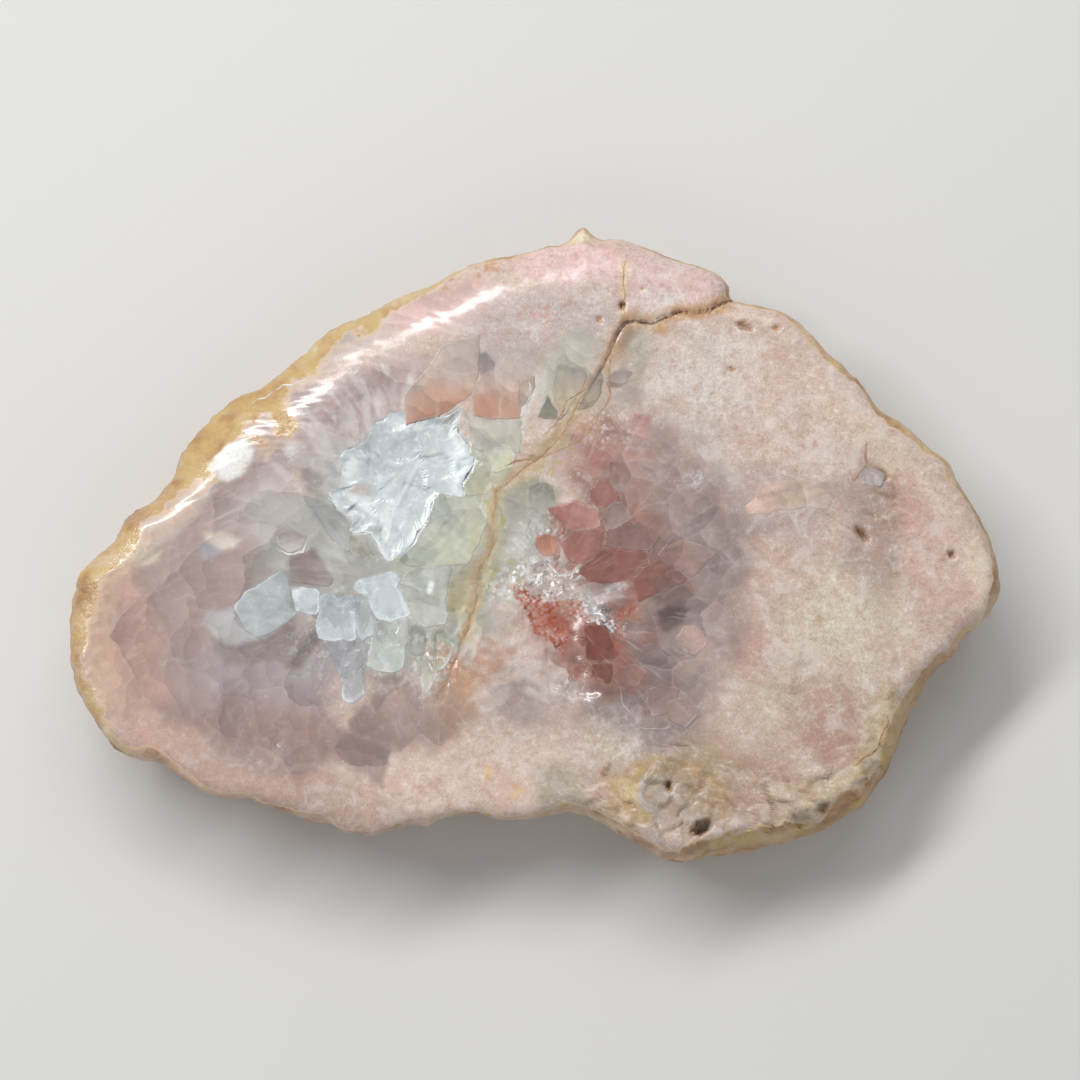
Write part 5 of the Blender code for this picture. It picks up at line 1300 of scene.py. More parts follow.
def add_node(tree: bpy.types.NodeTree, kind: str, values: dict) -> bpy.types.Node:
    """Adds one node with its settings and links.

    Args:
        tree: the material's node tree.
        kind: the node's type, without the words that every type starts with.
        values: attributes and inputs with their values or the sockets that they take.

    Returns:
        The new node.
    """
    node = tree.nodes.new("ShaderNode" + kind)
    dress(tree, node, values)
    return node


class Weave:
    """A material's node tree with short names for the steps that its finish repeats."""

    def __init__(self, name: str) -> None:
        """Starts a material with its Principled shader and Object coordinates."""
        self.material = bpy.data.materials.new(name)
        self.material.use_nodes = True
        self.tree = self.material.node_tree
        self.place = self.add("TexCoord", {}, "Object")

    def add(self, kind: str, values: dict, output: int | str = 0) -> Socket:
        """Adds a node and gives back one of its outputs."""
        return add_node(self.tree, kind, values).outputs[output]

    def read(self, name: str, output: str = "Fac") -> Socket:
        """One of the mesh's own attributes."""
        return self.add("Attribute", {"attribute_name": name}, output)

    def calc(self, kind: str, *values: Socket | float) -> Socket:
        """One arithmetic step between sockets or numbers."""
        return self.add("Math", {"operation": kind, **dict(enumerate(values))})

    def vector(self, kind: str, values: dict, output: int = 0) -> Socket:
        """One vector step between sockets or triples, by the number of its input."""
        return self.add("VectorMath", {"operation": kind, **values}, output)

    def mix(self, share: Socket | float, first: Socket, second: Socket | str) -> Socket:
        """Blends two colours by a share. The second may be given as a hue."""
        second = (*linear(second), 1.0) if isinstance(second, str) else second
        return self.add("Mix", {"data_type": "RGBA", 0: share, 6: first, 7: second}, 2)

    def step(self, value: Socket, low: float, high: float, top: float = 1.0) -> Socket:
        """A smooth step from 0 at low to top at high, which may be the smaller one."""
        ends = (0.0, top) if low < high else (top, 0.0)
        limits = {1: min(low, high), 2: max(low, high), 3: ends[0], 4: ends[1]}
        return self.add("MapRange", {"interpolation_type": "SMOOTHSTEP", 0: value} | limits)

    def stain(self, colour: Socket, hue: str, field: Socket, low: float, high: float, top: float,
              within: Socket) -> Socket:
        """Lays a hue over a colour where a field has passed its step, within a mask."""
        cover = self.calc("MULTIPLY", self.step(field, low, high, top), within)
        return self.mix(cover, colour, hue)

    def noise(self, size_mm: float, detail: float, rough: float, stretch: float = 0.0) -> Socket:
        """Noise from 0 to 1 whose features are about size_mm wide, on Object coordinates."""
        return self.add("TexNoise", {
            "Scale": 1.0 / (size_mm * MM), "Detail": detail, "Roughness": rough,
            "Distortion": stretch, "Vector": self.place,
        }, "Fac")

    def cells(self, place: Socket, scale: float, output: str, feature: str = "F1") -> Socket:
        """A flat Voronoi mosaic."""
        values = {"voronoi_dimensions": "2D", "feature": feature, "Scale": scale, "Vector": place}
        return self.add("TexVoronoi", values, output)

    def ramp(self, socket: Socket, stops: Stops) -> Socket:
        """A colour ramp through the given hues."""
        node = add_node(self.tree, "ValToRGB", {"Fac": socket})
        elements = node.color_ramp.elements
        while len(elements) < len(stops):
            elements.new(0.5)
        for element, (place, hue) in zip(elements, stops):
            element.position, element.color = place, (*linear(hue), 1.0)
        return node.outputs["Color"]

    def finish(self, values: dict) -> bpy.types.Material:
        """Sets and links the shader's inputs, and gives back the material."""
        dress(self.tree, self.tree.nodes["Principled BSDF"], values)
        return self.material


@dataclass(frozen=True)
class AmethystFinish:
    """Pink amethyst, cut and polished: glossy clear quartz and satin chalky quartz.

    Quartz has an index of refraction of 1.544. The polish is a thin clear gloss over a body
    that scatters light a millimetre or two deep. The rind is rough iron-stained rock, glossy
    only where the polish rolls over it, and the back is satin from the saw.
    """

    name: str = "polished_pink_amethyst"
    quartz_ior: float = 1.544
    glass_roughness: float = 0.25
    chalk_roughness: float = 0.6
    rind_roughness: float = 0.65
    gloss_roughness: float = 0.1
    scatter_mm: float = 1.2
    cell_mm: float = 3.3
    rind_grain_mm: float = 4.6
    rind_hues: Stops = (
        (0, "80603E"), (0.22, "A47A48"), (0.42, "BA935C"), (0.6, "C4A468"), (0.78, "C6AA72"),
        (0.9, "CCB483"), (1, "D6C8A6"),
    )
    pale_rind_hues: Stops = (
        (0, "8C6C5A"), (0.3, "B59684"), (0.5, "C8AB9A"), (0.75, "D8C2B0"), (1, "E3D5C6"),
    )
    back_hues: Stops = (
        (0.2, "A48C87"), (0.42, "BFA59B"), (0.55, "CDB5AA"), (0.8, "D8C8BC"),
    )

    def glass(self, weave: Weave, colour: Socket) -> Socket:
        """Intergrown crystals: each cell of the mosaic has its own tone, and is clearer inward.

        The mosaic lies on the growth coordinates, so its cells point to the druse's middle.
        """
        calc, strength, grow = weave.calc, weave.read("mosaic"), weave.read("grow", "Vector")
        factor = 1.0
        for scale, depth, lean in ((1.0 / 1.7, 0.1, 0.04), (1.0 / 6.5, 0.14, 0.0),
                                   (1.0 / self.cell_mm, 0.32, 0.06)):
            pick = weave.cells(grow, scale, "Color")
            away = weave.vector("SUBTRACT", {0: grow, 1: pick.node.outputs["Position"]})
            inward = weave.vector("DOT_PRODUCT", {0: away, 1: (0.25, -1.0, 0.0)}, 1)
            tone = calc("MULTIPLY_ADD", pick, depth, -depth / 2.0)
            tone = calc("MULTIPLY_ADD", inward, lean * scale * self.cell_mm, tone)
            factor = calc("ADD", tone, factor)
        fibre_place = weave.vector("MULTIPLY", {0: grow, 1: (1.6, 0.28, 1.0)})
        fibres = weave.add("TexNoise", {"Scale": 1.0, "Detail": 4.0, "Vector": fibre_place}, "Fac")
        factor = calc("MULTIPLY_ADD", calc("SUBTRACT", fibres, 0.5), 0.2, factor)
        factor = calc("MULTIPLY_ADD", calc("SUBTRACT", factor, 1.0), strength, 1.0)
        ruddy = weave.read("ruddy")
        colour = weave.stain(colour, "A27669", pick, 0.34, 0.44, 0.7, ruddy)
        colour = weave.stain(colour, "945F52", pick, 0.5, 0.56, 0.7, ruddy)
        colour = weave.vector("SCALE", {0: colour, 3: factor})
        colour = weave.stain(colour, "CFC9C7", fibres, 0.56, 0.8, 0.3, strength)
        border = weave.cells(grow, 1.0 / self.cell_mm, "Distance", "DISTANCE_TO_EDGE")
        return weave.stain(colour, "CFC2BE", border, 0.05, 0.0, 0.7, weave.read("edge"))

    def chalk(self, weave: Weave, colour: Socket, chalk: Socket) -> Socket:
        """Chalky quartz is a felt of tiny grains: white flecks, and rusty ones between them."""
        calc = weave.calc
        fine = calc("SUBTRACT", weave.noise(0.26, 2.0, 0.7), 0.5)
        middle, broad = weave.noise(1.15, 6.0, 0.78), weave.noise(4.2, 6.0, 0.66, 0.8)
        grain = calc("MULTIPLY_ADD", fine, 0.9, calc("SUBTRACT", middle, 0.5))
        grain = calc("MULTIPLY_ADD", grain, chalk, 1.0)
        colour = weave.vector("SCALE", {0: colour, 3: grain})
        for field, low, high, top, hue in (
            (broad, 0.50, 0.66, 0.5, "DED5CD"), (broad, 0.47, 0.32, 0.4, "C99C88"),
            (middle, 0.53, 0.7, 0.6, "E5DDD6"), (middle, 0.46, 0.34, 0.5, "BF8D72"),
        ):
            colour = weave.stain(colour, hue, field, low, high, top, chalk)
        return colour

    def ice(self, weave: Weave, colour: Socket, frost: Socket) -> Socket:
        """Frosty quartz: wandering white edges, snowy flecks and blue-grey mottles."""
        calc, snow = weave.calc, weave.noise(1.3, 5.0, 0.68)
        colour = weave.stain(colour, "A8B0B3", snow, 0.46, 0.34, 0.45, frost)
        colour = weave.stain(colour, "E9EDEE", snow, 0.52, 0.68, 0.75, frost)
        ridge = calc("ABSOLUTE", calc("SUBTRACT", weave.noise(2.3, 5.0, 0.62, 0.4), 0.5))
        cover = calc("MULTIPLY", weave.step(ridge, 0.018, 0.002, 0.75), frost)
        cover = calc("MULTIPLY", cover, weave.step(snow, 0.42, 0.56))
        return weave.mix(cover, colour, "F2F5F5")

    def crust(self, weave: Weave, colour: Socket, side: Socket) -> tuple[Socket, Socket]:
        """The rind: iron stains, ochre or tan, with a ragged border on the face."""
        calc, step, rind = weave.calc, weave.step, weave.read("rind")
        ragged = calc("MULTIPLY_ADD", weave.noise(1.8, 6.0, 0.7), 1.8, -0.9)
        share = calc("ADD", rind, ragged)
        colour = weave.stain(colour, "D9BFA2", share, 0.05, 0.55, 0.75, step(rind, 0.02, 0.2))
        solid = calc("MULTIPLY", step(share, 0.4, 0.75), step(rind, 0.05, 0.3))
        solid = calc("MAXIMUM", solid, side)
        stain = weave.noise(self.rind_grain_mm, 7.0, 0.6, 0.2)
        stain = calc("MULTIPLY_ADD", stain, 2.0, -0.5)
        pale, ochre = weave.ramp(stain, self.pale_rind_hues), weave.ramp(stain, self.rind_hues)
        return weave.mix(solid, colour, weave.mix(weave.read("iron"), pale, ochre)), solid

    def build(self) -> bpy.types.Material:
        """The material's nodes: hues from the stone's own attributes, grain from noise.

        Returns:
            The finished material.
        """
        weave = Weave(self.name)
        calc, step, read = weave.calc, weave.step, weave.read
        chalk, side, sparkle, frost = read("chalk"), read("side"), read("sparkle"), read("frost")
        wall = step(side, 0.0, 1.0)
        colour = self.glass(weave, read("tint", "Color"))
        colour = self.ice(weave, colour, frost)
        # Painted highlight: the icy crystals' pale border, laid in as white.
        colour = weave.mix(read("rim"), colour, "EFF1F0")
        dry = calc("MULTIPLY", chalk, calc("SUBTRACT", 1.0, frost))
        colour, crust = self.crust(weave, self.chalk(weave, colour, dry), wall)

        # The sugary druse: small crystals, frosted or stained with rust, each leaning its way. Its
        # white specks are partly frost and partly painted glints.
        sugar = weave.cells(weave.place, 1.0 / (0.42 * MM), "Color")
        grains = weave.cells(weave.place, 1.0 / (0.36 * MM), "Color")
        frosting = weave.noise(0.38, 4.0, 0.8)
        rust = calc("MULTIPLY", read("rust"), calc("MULTIPLY_ADD", frosting, 1.4, 0.5))
        ripe = step(rust, 0.25, 0.7)
        for low, high, hue in ((0.15, 0.5, "AF6B54"), (0.4, 0.65, "A4513A"), (0.66, 0.9, "8A4435")):
            colour = weave.stain(colour, hue, grains, low, high, 0.8, ripe)
        # White specks: painted glints on the small crystals, and white frost.
        glint_and_frost_specks = calc("MAXIMUM", step(sugar, 0.74, 0.8, 0.8), step(frosting, 0.54, 0.66, 0.75))
        colour = weave.mix(calc("MULTIPLY", glint_and_frost_specks, sparkle), colour, "EEF0F0")

        # The back shows the same stone, sawn and not polished.
        sawn = weave.ramp(weave.noise(16.0, 4.0, 0.5, 0.6), self.back_hues)
        colour = weave.mix(calc("GREATER_THAN", side, 1.5), colour, sawn)

        gain = self.chalk_roughness - self.glass_roughness
        rough = calc("MULTIPLY_ADD", chalk, gain, self.glass_roughness)
        rough = calc("MAXIMUM", rough, calc("MULTIPLY", crust, self.rind_roughness))
        gloss = calc("MULTIPLY_ADD", chalk, -0.72, 0.9)
        gloss = calc("MULTIPLY", gloss, calc("SUBTRACT", 1.0, wall))
        gloss = calc("MULTIPLY", gloss, calc("MULTIPLY_ADD", frost, -0.5, 1.0))
        gloss = calc("MULTIPLY", gloss, calc("MULTIPLY_ADD", read("rust"), -0.8, 1.0))

        # Fine relief: grain where it is chalky, lumps on the rind, hardly any on the glass.
        lumpy = calc("MULTIPLY_ADD", chalk, 0.12, calc("MULTIPLY_ADD", crust, 0.85, 0.04))
        bump = weave.add("Bump", {
            "Distance": 0.3 * MM, "Height": weave.noise(0.9, 4.0, 0.6), "Strength": lumpy,
        })
        lean = weave.vector("SUBTRACT", {0: sugar, 1: (0.5, 0.5, 0.5)})
        lean = weave.vector("SCALE", {0: lean, 3: calc("MULTIPLY", sparkle, 0.9)})
        normal = weave.vector("NORMALIZE", {0: weave.vector("ADD", {0: bump, 1: lean})})
        return weave.finish({
            "Base Color": colour, "Roughness": rough, "IOR": self.quartz_ior, "Normal": normal,
            "Coat Weight": gloss, "Coat Roughness": self.gloss_roughness,
            "Coat IOR": self.quartz_ior, "Coat Normal": normal, "Subsurface Weight": 0.15,
            "Subsurface Scale": self.scatter_mm * MM, "Subsurface Radius": (1.0, 0.72, 0.62),
        })


@dataclass(frozen=True)
class ClearQuartzFinish:
    """Icy quartz: partly see-through, with its index of refraction, and milky inside."""

    name: str = "clear_quartz"
    quartz_ior: float = 1.544
    roughness: float = 0.15
    clearness: float = 0.25

    def build(self) -> bpy.types.Material:
        """The material's nodes.

        Returns:
            The finished material.
        """
        weave = Weave(self.name)
        return weave.finish({
            "Base Color": weave.read("tint", "Color"), "Roughness": self.roughness,
            "IOR": self.quartz_ior, "Transmission Weight": self.clearness,
            "Subsurface Weight": 0.5, "Subsurface Radius": (1.0, 1.0, 1.0),
            "Subsurface Scale": 0.8 * MM,
        })


# ---------------------------------------------------------------- small solids set in the face


@dataclass
class Gathering:
    """Points, faces and marks of many small solids, gathered for one joined mesh."""

    points: list[np.ndarray] = field(default_factory=list)
    faces: dict[int, list[np.ndarray]] = field(default_factory=dict)
    marks: dict[str, list[np.ndarray]] = field(default_factory=dict)
    count: int = 0

    def add(self, points: np.ndarray, faces: list[np.ndarray],
            **marks: np.ndarray | float) -> None:
        """Adds one solid, or many in one array: its faces count from its own first point."""
        for rows in faces:
            self.faces.setdefault(rows.shape[1], []).append(rows + self.count)
        for name, mark in marks.items():
            mark = mark if np.ndim(mark) else np.full(len(points), float(mark))
            self.marks.setdefault(name, []).append(mark)
        self.points.append(points)
        self.count += len(points)

    def build(self, name: str, material: bpy.types.Material, shift: np.ndarray,
              smooth: bool = False) -> bpy.types.Object:
        """Makes the joined object.

        Args:
            name: the object's name.
            material: its finish.
            shift: how far the whole stone is moved to stand over the origin, in millimetres.
            smooth: True shades it round.

        Returns:
            The object.
        """
        faces = [np.vstack(rows) for rows in self.faces.values()]
        mesh = make_mesh(name, (np.vstack(self.points) + shift) * MM, faces, [smooth] * len(faces))
        store(mesh, {mark: np.concatenate(parts) for mark, parts in self.marks.items()})
        mesh.materials.append(material)
        return set_down(name, mesh)


def set_down(name: str, data: bpy.types.ID) -> bpy.types.Object:
    """Makes an object of a mesh, a light or a camera, and puts it in the scene."""
    thing = bpy.data.objects.new(name, data)
    bpy.context.scene.collection.objects.link(thing)
    return thing


def make_mesh(name: str, points: np.ndarray, faces: list[np.ndarray],
              smooth: list[bool]) -> bpy.types.Mesh:
    """Puts points and faces into a mesh as whole arrays.

    Args:
        name: the mesh's name.
        points: points in metres.
        faces: one array for each kind of face, with as many columns as it has corners.
        smooth: whether each kind is shaded round.

    Returns:
        The mesh.
    """
    mesh = bpy.data.meshes.new(name)
    corners = np.concatenate([rows.ravel() for rows in faces]).astype(np.int32)
    sizes = np.concatenate([np.full(len(rows), rows.shape[1]) for rows in faces])
    starts = np.concatenate([[0], np.cumsum(sizes)[:-1]]).astype(np.int32)
    mesh.vertices.add(len(points))
    mesh.vertices.foreach_set("co", points.astype(np.float32).ravel())
    mesh.loops.add(len(corners))
    mesh.loops.foreach_set("vertex_index", corners)
    mesh.polygons.add(len(sizes))
    mesh.polygons.foreach_set("loop_start", starts)
    rounded = np.concatenate([np.full(len(rows), flag) for rows, flag in zip(faces, smooth)])
    mesh.polygons.foreach_set("use_smooth", rounded)
    mesh.update(calc_edges=True)
    mesh.validate()
    return mesh


def store(mesh: bpy.types.Mesh, marks: dict[str, np.ndarray]) -> None:
    """Stores each mark for every vertex: a number, a linear colour or a growth coordinate."""
    for name, mark in marks.items():
        if name == "tint":
            mark = np.column_stack([mark, np.ones(len(mark))])
        columns = mark.size // len(mark)
        kind, key = {1: ("FLOAT", "value"), 3: ("FLOAT_VECTOR", "vector"),
                     4: ("FLOAT_COLOR", "color")}[columns]
        layer = mesh.attributes.new(name, kind, "POINT")
        layer.data.foreach_set(key, mark.astype(np.float32).ravel())


def ring_faces(rings: int, count: int) -> np.ndarray:
    """The four-cornered faces between rings of count points each."""
    start, place = np.arange(rings - 1)[:, None] * count, np.arange(count)
    ahead = np.roll(place, -1)
    quads = np.stack([start + place, start + ahead, start + count + ahead, start + count + place])
    return quads.reshape(4, -1).T


@dataclass
class CutCrystals:
    """The crystals that the polish cut through, each a closed solid set into the stone.

    A crystal has rings of points from its foot up over a small bevel and in to its middle. Its
    top is the polished surface, or a rough bowl a little below it where the quartz is broken.
    """

    shape: FaceShape
    spacing: float = 0.22
    ring_spacing: float = 0.32
    proud: float = 0.02
    proud_step: float = 0.007
    foot: float = 0.3
    bevel_width: float = 0.06
    bevel_drop: float = 0.012
    inner_cells: float = 0.7
    highlight_rose: str = "D2C0BA"

    def border(self, shard: Shard) -> np.ndarray:
        """The crystal's outline, anticlockwise: its corners joined and frayed by noise."""
        corners = np.array(shard.corners)
        following = np.roll(corners, -1, axis=0)
        if (corners[:, 0] * following[:, 1] - corners[:, 1] * following[:, 0]).sum() < 0.0:
            corners = corners[::-1]
        _, line = even_steps(np.vstack([corners, corners[:1]]), self.spacing)
        line = (np.roll(line, 1, axis=0) + 2.0 * line + np.roll(line, -1, axis=0)) / 4.0
        line += (0.2 + 0.25 * shard.frost) * swirl(line, 1.2, (201, 203), 4)
        # Seen from the middle the outline only goes forward, so that no ring folds over itself.
        middle = line.mean(axis=0)
        away = line - middle
        angles = np.maximum.accumulate(np.unwrap(np.arctan2(away[:, 1], away[:, 0])))
        angles = np.minimum(angles, angles[0] + 2.0 * math.pi - 0.001)
        angles += np.arange(len(line)) * 1e-5
        ways = np.column_stack([np.cos(angles), np.sin(angles)])
        return middle + np.hypot(*away.T)[:, None] * ways

    def add(self, gathering: Gathering, shard: Shard, seed: int) -> None:
        """Adds one crystal to the gathering."""
        line = self.border(shard)
        count, middle = len(line), line.mean(axis=0)
        size = np.hypot(*(line - middle).T).mean()
        steps = max(3, round(size / self.ring_spacing))
        scales = np.linspace(1.0 - self.bevel_width / size, 0.0, steps, endpoint=False)
        scales = np.concatenate([[1.0, 1.0], scales])
        places = (middle + (line - middle) * scales[:, None, None]).reshape(-1, 2)
        places = np.vstack([places, middle])
        gap = np.append(np.repeat((1.0 - scales) * size, count), size)
        fall = np.zeros(len(places))
        fall[:count] = self.foot
        fall[count:2 * count] = self.bevel_drop
        bowl = shard.sunk * ease(gap, 0.0, 1.8)
        proud = self.proud + self.proud_step * (seed % 6)
        rough = 0.16 * cloud(places, 2.0, 205, 4) + 0.2 * read_cells(places, 3.4, 205, 0.1).slope
        rough *= 1.5 * shard.sunk * ease(gap, 0.0, 0.5)
        points = np.column_stack([places, self.shape.polish(places) + proud - bowl - rough - fall])
        last = (len(scales) - 1) * count + np.arange(count)
        fan = np.column_stack([last, np.roll(last, -1), np.full(count, len(scales) * count)])
        tint, rim = self.tints(shard, places, gap, seed)
        gathering.add(
            points, [ring_faces(len(scales), count), fan], tint=tint, rim=rim,
            chalk=shard.chalk * 0.8, frost=shard.frost,
            mosaic=self.inner_cells * (1.0 - shard.frost), grow=self.shape.growth(places),
        )

    def tints(self, shard: Shard, places: np.ndarray, gap: np.ndarray,
              seed: int) -> tuple[np.ndarray, np.ndarray]:
        """The crystal's hue and the strength of its pale border at each place.

        The hue runs to the far hue, with faint clouds, streaks along the flow and two flat
        faces that meet in an edge. The border is a painted highlight, pale at the far end, and
        painted shade, dim at the near one.
        """
        run, aside, reach = shard.run(places)
        colour = shard.blend(run / reach + 0.35 * cloud(places, 2.2, 213, 3))
        turn, offset = scramble(np.array([[seed, 5], [seed, 9]]), 207)
        away = places - np.array(shard.corners).mean(axis=0)
        crease = away @ (math.cos(turn * 6.28), math.sin(turn * 6.28)) / reach - (offset - 0.5)
        streaks = cloud(np.stack([aside * 2.2, run * 0.4], axis=1), 1.0, 219, 3)
        ends = np.clip(run / np.maximum(np.hypot(run, aside), 0.1), -1.0, 1.0)
        tone = 1.0 + 0.15 * cloud(places, 1.5, 217, 4) + 0.1 * streaks
        tone += 0.07 * ease(crease, -0.03, 0.03)
        # Painted shade: the border is darker at the near end of the flow.
        tone -= 0.12 * ease(gap, 0.9, 0.1) * ease(ends, 0.2, -0.6)
        colour *= tone[:, None]
        for wash in shard.inner:
            lay(colour, wash.hue, wash.cover(places, cloud(places, 1.6, 221, 3)))
        wobbled = places + 0.25 * cloud(places, 0.8, 223, 3)[:, None]
        for mark in shard.creases:
            off = read_path(wobbled, np.array(mark.path)).gap
            lay(colour, mark.hue, mark.strength * ease(off, mark.width, 0.0))
        # Painted highlight: the pale border, brightest at the far end, white on icy crystals and
        # pale rose on the rest.
        patchy = ease(cloud(places, 1.0, 211, 4), -0.45, 0.45) * 1.3
        bright = shard.rim * (0.1 + 0.9 * ease(ends, -0.3, 0.8))
        rim = np.clip(ease(gap, 0.32 + 0.25 * shard.frost, 0.02) * bright * patchy, 0.0, 0.92)
        icy = min(1.0, 0.15 + 2.0 * shard.frost)
        lay(colour, self.highlight_rose, rim * (1.0 - icy) * 0.6)
        return colour, rim * icy


@dataclass(frozen=True)
class PointBed:
    """A patch strewn with small quartz points, of one size range and hue."""

    centre: Spot
    radii: Spot
    turn: float
    count: int
    lengths: Spot
    hue: str


POINT_BEDS: tuple[PointBed, ...] = (
    PointBed((-13.6, -17.6), (2.2, 2.6), 20, 8, (0.5, 1.1), "E4E5DC"),
    PointBed((0.6, -5.8), (5, 2.3), -8, 48, (0.25, 0.7), "F6F7F6"),
    PointBed((7.5, -10.5), (4.2, 1.9), -30, 26, (0.25, 0.65), "F4F1EF"),
    PointBed((-4, -6.8), (2.6, 2.6), 0, 30, (0.25, 0.65), "F2F1EC"),
    PointBed((3.2, -11.5), (4.5, 2), -45, 16, (0.25, 0.55), "E9D0C6"),
    PointBed((4.6, -18.6), (3, 1.6), 10, 9, (0.25, 0.55), "EDE6E2"),
    PointBed((9.5, -24.8), (4.5, 2), -10, 24, (0.25, 0.6), "EDE6E2"),
    PointBed((-8.9, 8.6), (1, 2.6), 0, 12, (0.25, 0.7), "F0F2EF"),
    PointBed((7.5, 13), (3.2, 1.4), 10, 12, (0.25, 0.55), "EDE3E0"),
    PointBed((20, 6.8), (1.8, 0.6), 15, 12, (0.25, 0.6), "F3F1F0"),
    PointBed((3, 1.2), (2.5, 1.2), 20, 20, (0.25, 0.6), "EBD8D2"),
)


@dataclass
class QuartzPoints:
    """Small six-sided quartz points that line the druse and lean every way.

    Each is a prism with a pyramid on it. What would stand out of the polish is cut off flat.
    """

    shape: FaceShape
    slimness: tuple[float, float] = (0.2, 0.34)
    shoulder: float = 0.62
    root: float = 0.35
    proud: float = 0.01

    def add(self, gathering: Gathering, bed: PointBed, seed: int) -> None:
        """Adds one bed of points to the gathering, all worked out at once."""
        dice = np.random.default_rng(seed)
        count = bed.count
        spread = np.sqrt(dice.random(count))
        around = dice.random(count) * 2.0 * math.pi
        cosine, sine = heading(bed.turn)
        x, y = spread * np.cos(around) * bed.radii[0], spread * np.sin(around) * bed.radii[1]
        feet = np.column_stack([
            bed.centre[0] + x * cosine - y * sine, bed.centre[1] + x * sine + y * cosine,
        ])
        long = dice.uniform(*bed.lengths, count)
        wide = long * dice.uniform(*self.slimness, count)
        tilt = np.radians(dice.uniform(15.0, 80.0, count))
        way = dice.random(count) * 2.0 * math.pi
        flat = np.column_stack([np.cos(way), np.sin(way), np.zeros(count)])
        axis = flat * np.sin(tilt)[:, None]
        axis[:, 2] = np.cos(tilt)
        aside = np.column_stack([-np.sin(way), np.cos(way), np.zeros(count)])
        ring = (np.arange(6) * math.pi / 3.0)[None, :, None]
        round_way = aside[:, None] * np.cos(ring) + np.cross(axis, aside)[:, None] * np.sin(ring)
        floor = self.shape.surface(feet) - self.root
        foot = np.column_stack([feet, floor])[:, None]
        base = foot + round_way * wide[:, None, None]
        neck = base + (axis * (long * self.shoulder)[:, None])[:, None]
        tip = foot + (axis * long[:, None])[:, None]
        points = np.concatenate([base, neck, tip], axis=1).reshape(-1, 3)
        points[:, 2] = np.minimum(points[:, 2], self.shape.polish(points[:, :2]) + self.proud)
        side = np.arange(6)
        ahead, starts = (side + 1) % 6, np.arange(count)[:, None, None] * 13
        walls = (np.column_stack([side, ahead, ahead + 6, side + 6]) + starts).reshape(-1, 4)
        caps = (np.column_stack([side + 6, ahead + 6, np.full(6, 12)]) + starts).reshape(-1, 3)
        soles = (side[::-1][None, :] + starts[:, 0]).reshape(-1, 6)
        shade = dice.uniform(0.85, 1.08, (count, 1)) * linear(bed.hue)
        tint = np.repeat(np.clip(shade, 0.0, 1.0), 13, axis=0)
        gathering.add(points, [walls, caps, soles], tint=tint)


@dataclass
class VeinAndPaintedLightRibbons:
    """Thin stained veins in the face: flat ribbons of noisy width that taper to their ends.

    Besides veins and cracks, some ribbons are painted: bright ones stand for highlights, and the
    dark ones in the crack partly for shade. A ribbon lies at the mean height of the stone a little
    to its left and to its right.
    """

    shape: FaceShape
    spacing: float = 0.2
    proud: float = 0.025
    ridge: float = 0.3
    root: float = 0.35

    def add(self, gathering: Gathering, line: Line) -> None:
        """Adds one vein to the gathering."""
        steps, track = even_steps(np.array(line.path), self.spacing)
        track += line.wander * swirl(track, 1.9, (231, 233), 3)
        along = np.gradient(track, axis=0)
        along /= np.hypot(*along.T)[:, None]
        across = np.column_stack([-along[:, 1], along[:, 0]])
        taper = np.minimum(1.0, np.minimum(steps, steps[-1] - steps) / 1.5)
        width = line.width * (0.75 + line.ragged * cloud(track, 0.8, 237, 3)) * taper
        half = np.clip(width, 0.04, None)[:, None] * 0.5 * across
        left, right = track - half, track + half
        banks = [self.shape.top(track + side * self.ridge * across) for side in (-1.0, 1.0)]
        high = np.mean(banks, axis=0) + self.proud
        low = high - self.root
        ribbon = np.stack([
            np.column_stack(edge)
            for edge in ((left, low), (left, high), (right, high), (right, low))
        ], axis=1).reshape(-1, 3)
        count = len(track)
        ends = np.array([np.arange(4), 4 * count - 1 - np.arange(4)])
        tint = linear(line.hue) * (1.0 + 0.22 * cloud(track, 0.7, 239, 3))[:, None]
        faces = [ring_faces(count, 4)[:, ::-1], ends]
        gathering.add(ribbon, faces, tint=np.repeat(tint, 4, axis=0), chalk=line.chalk)


# ---------------------------------------------------------------- the stone


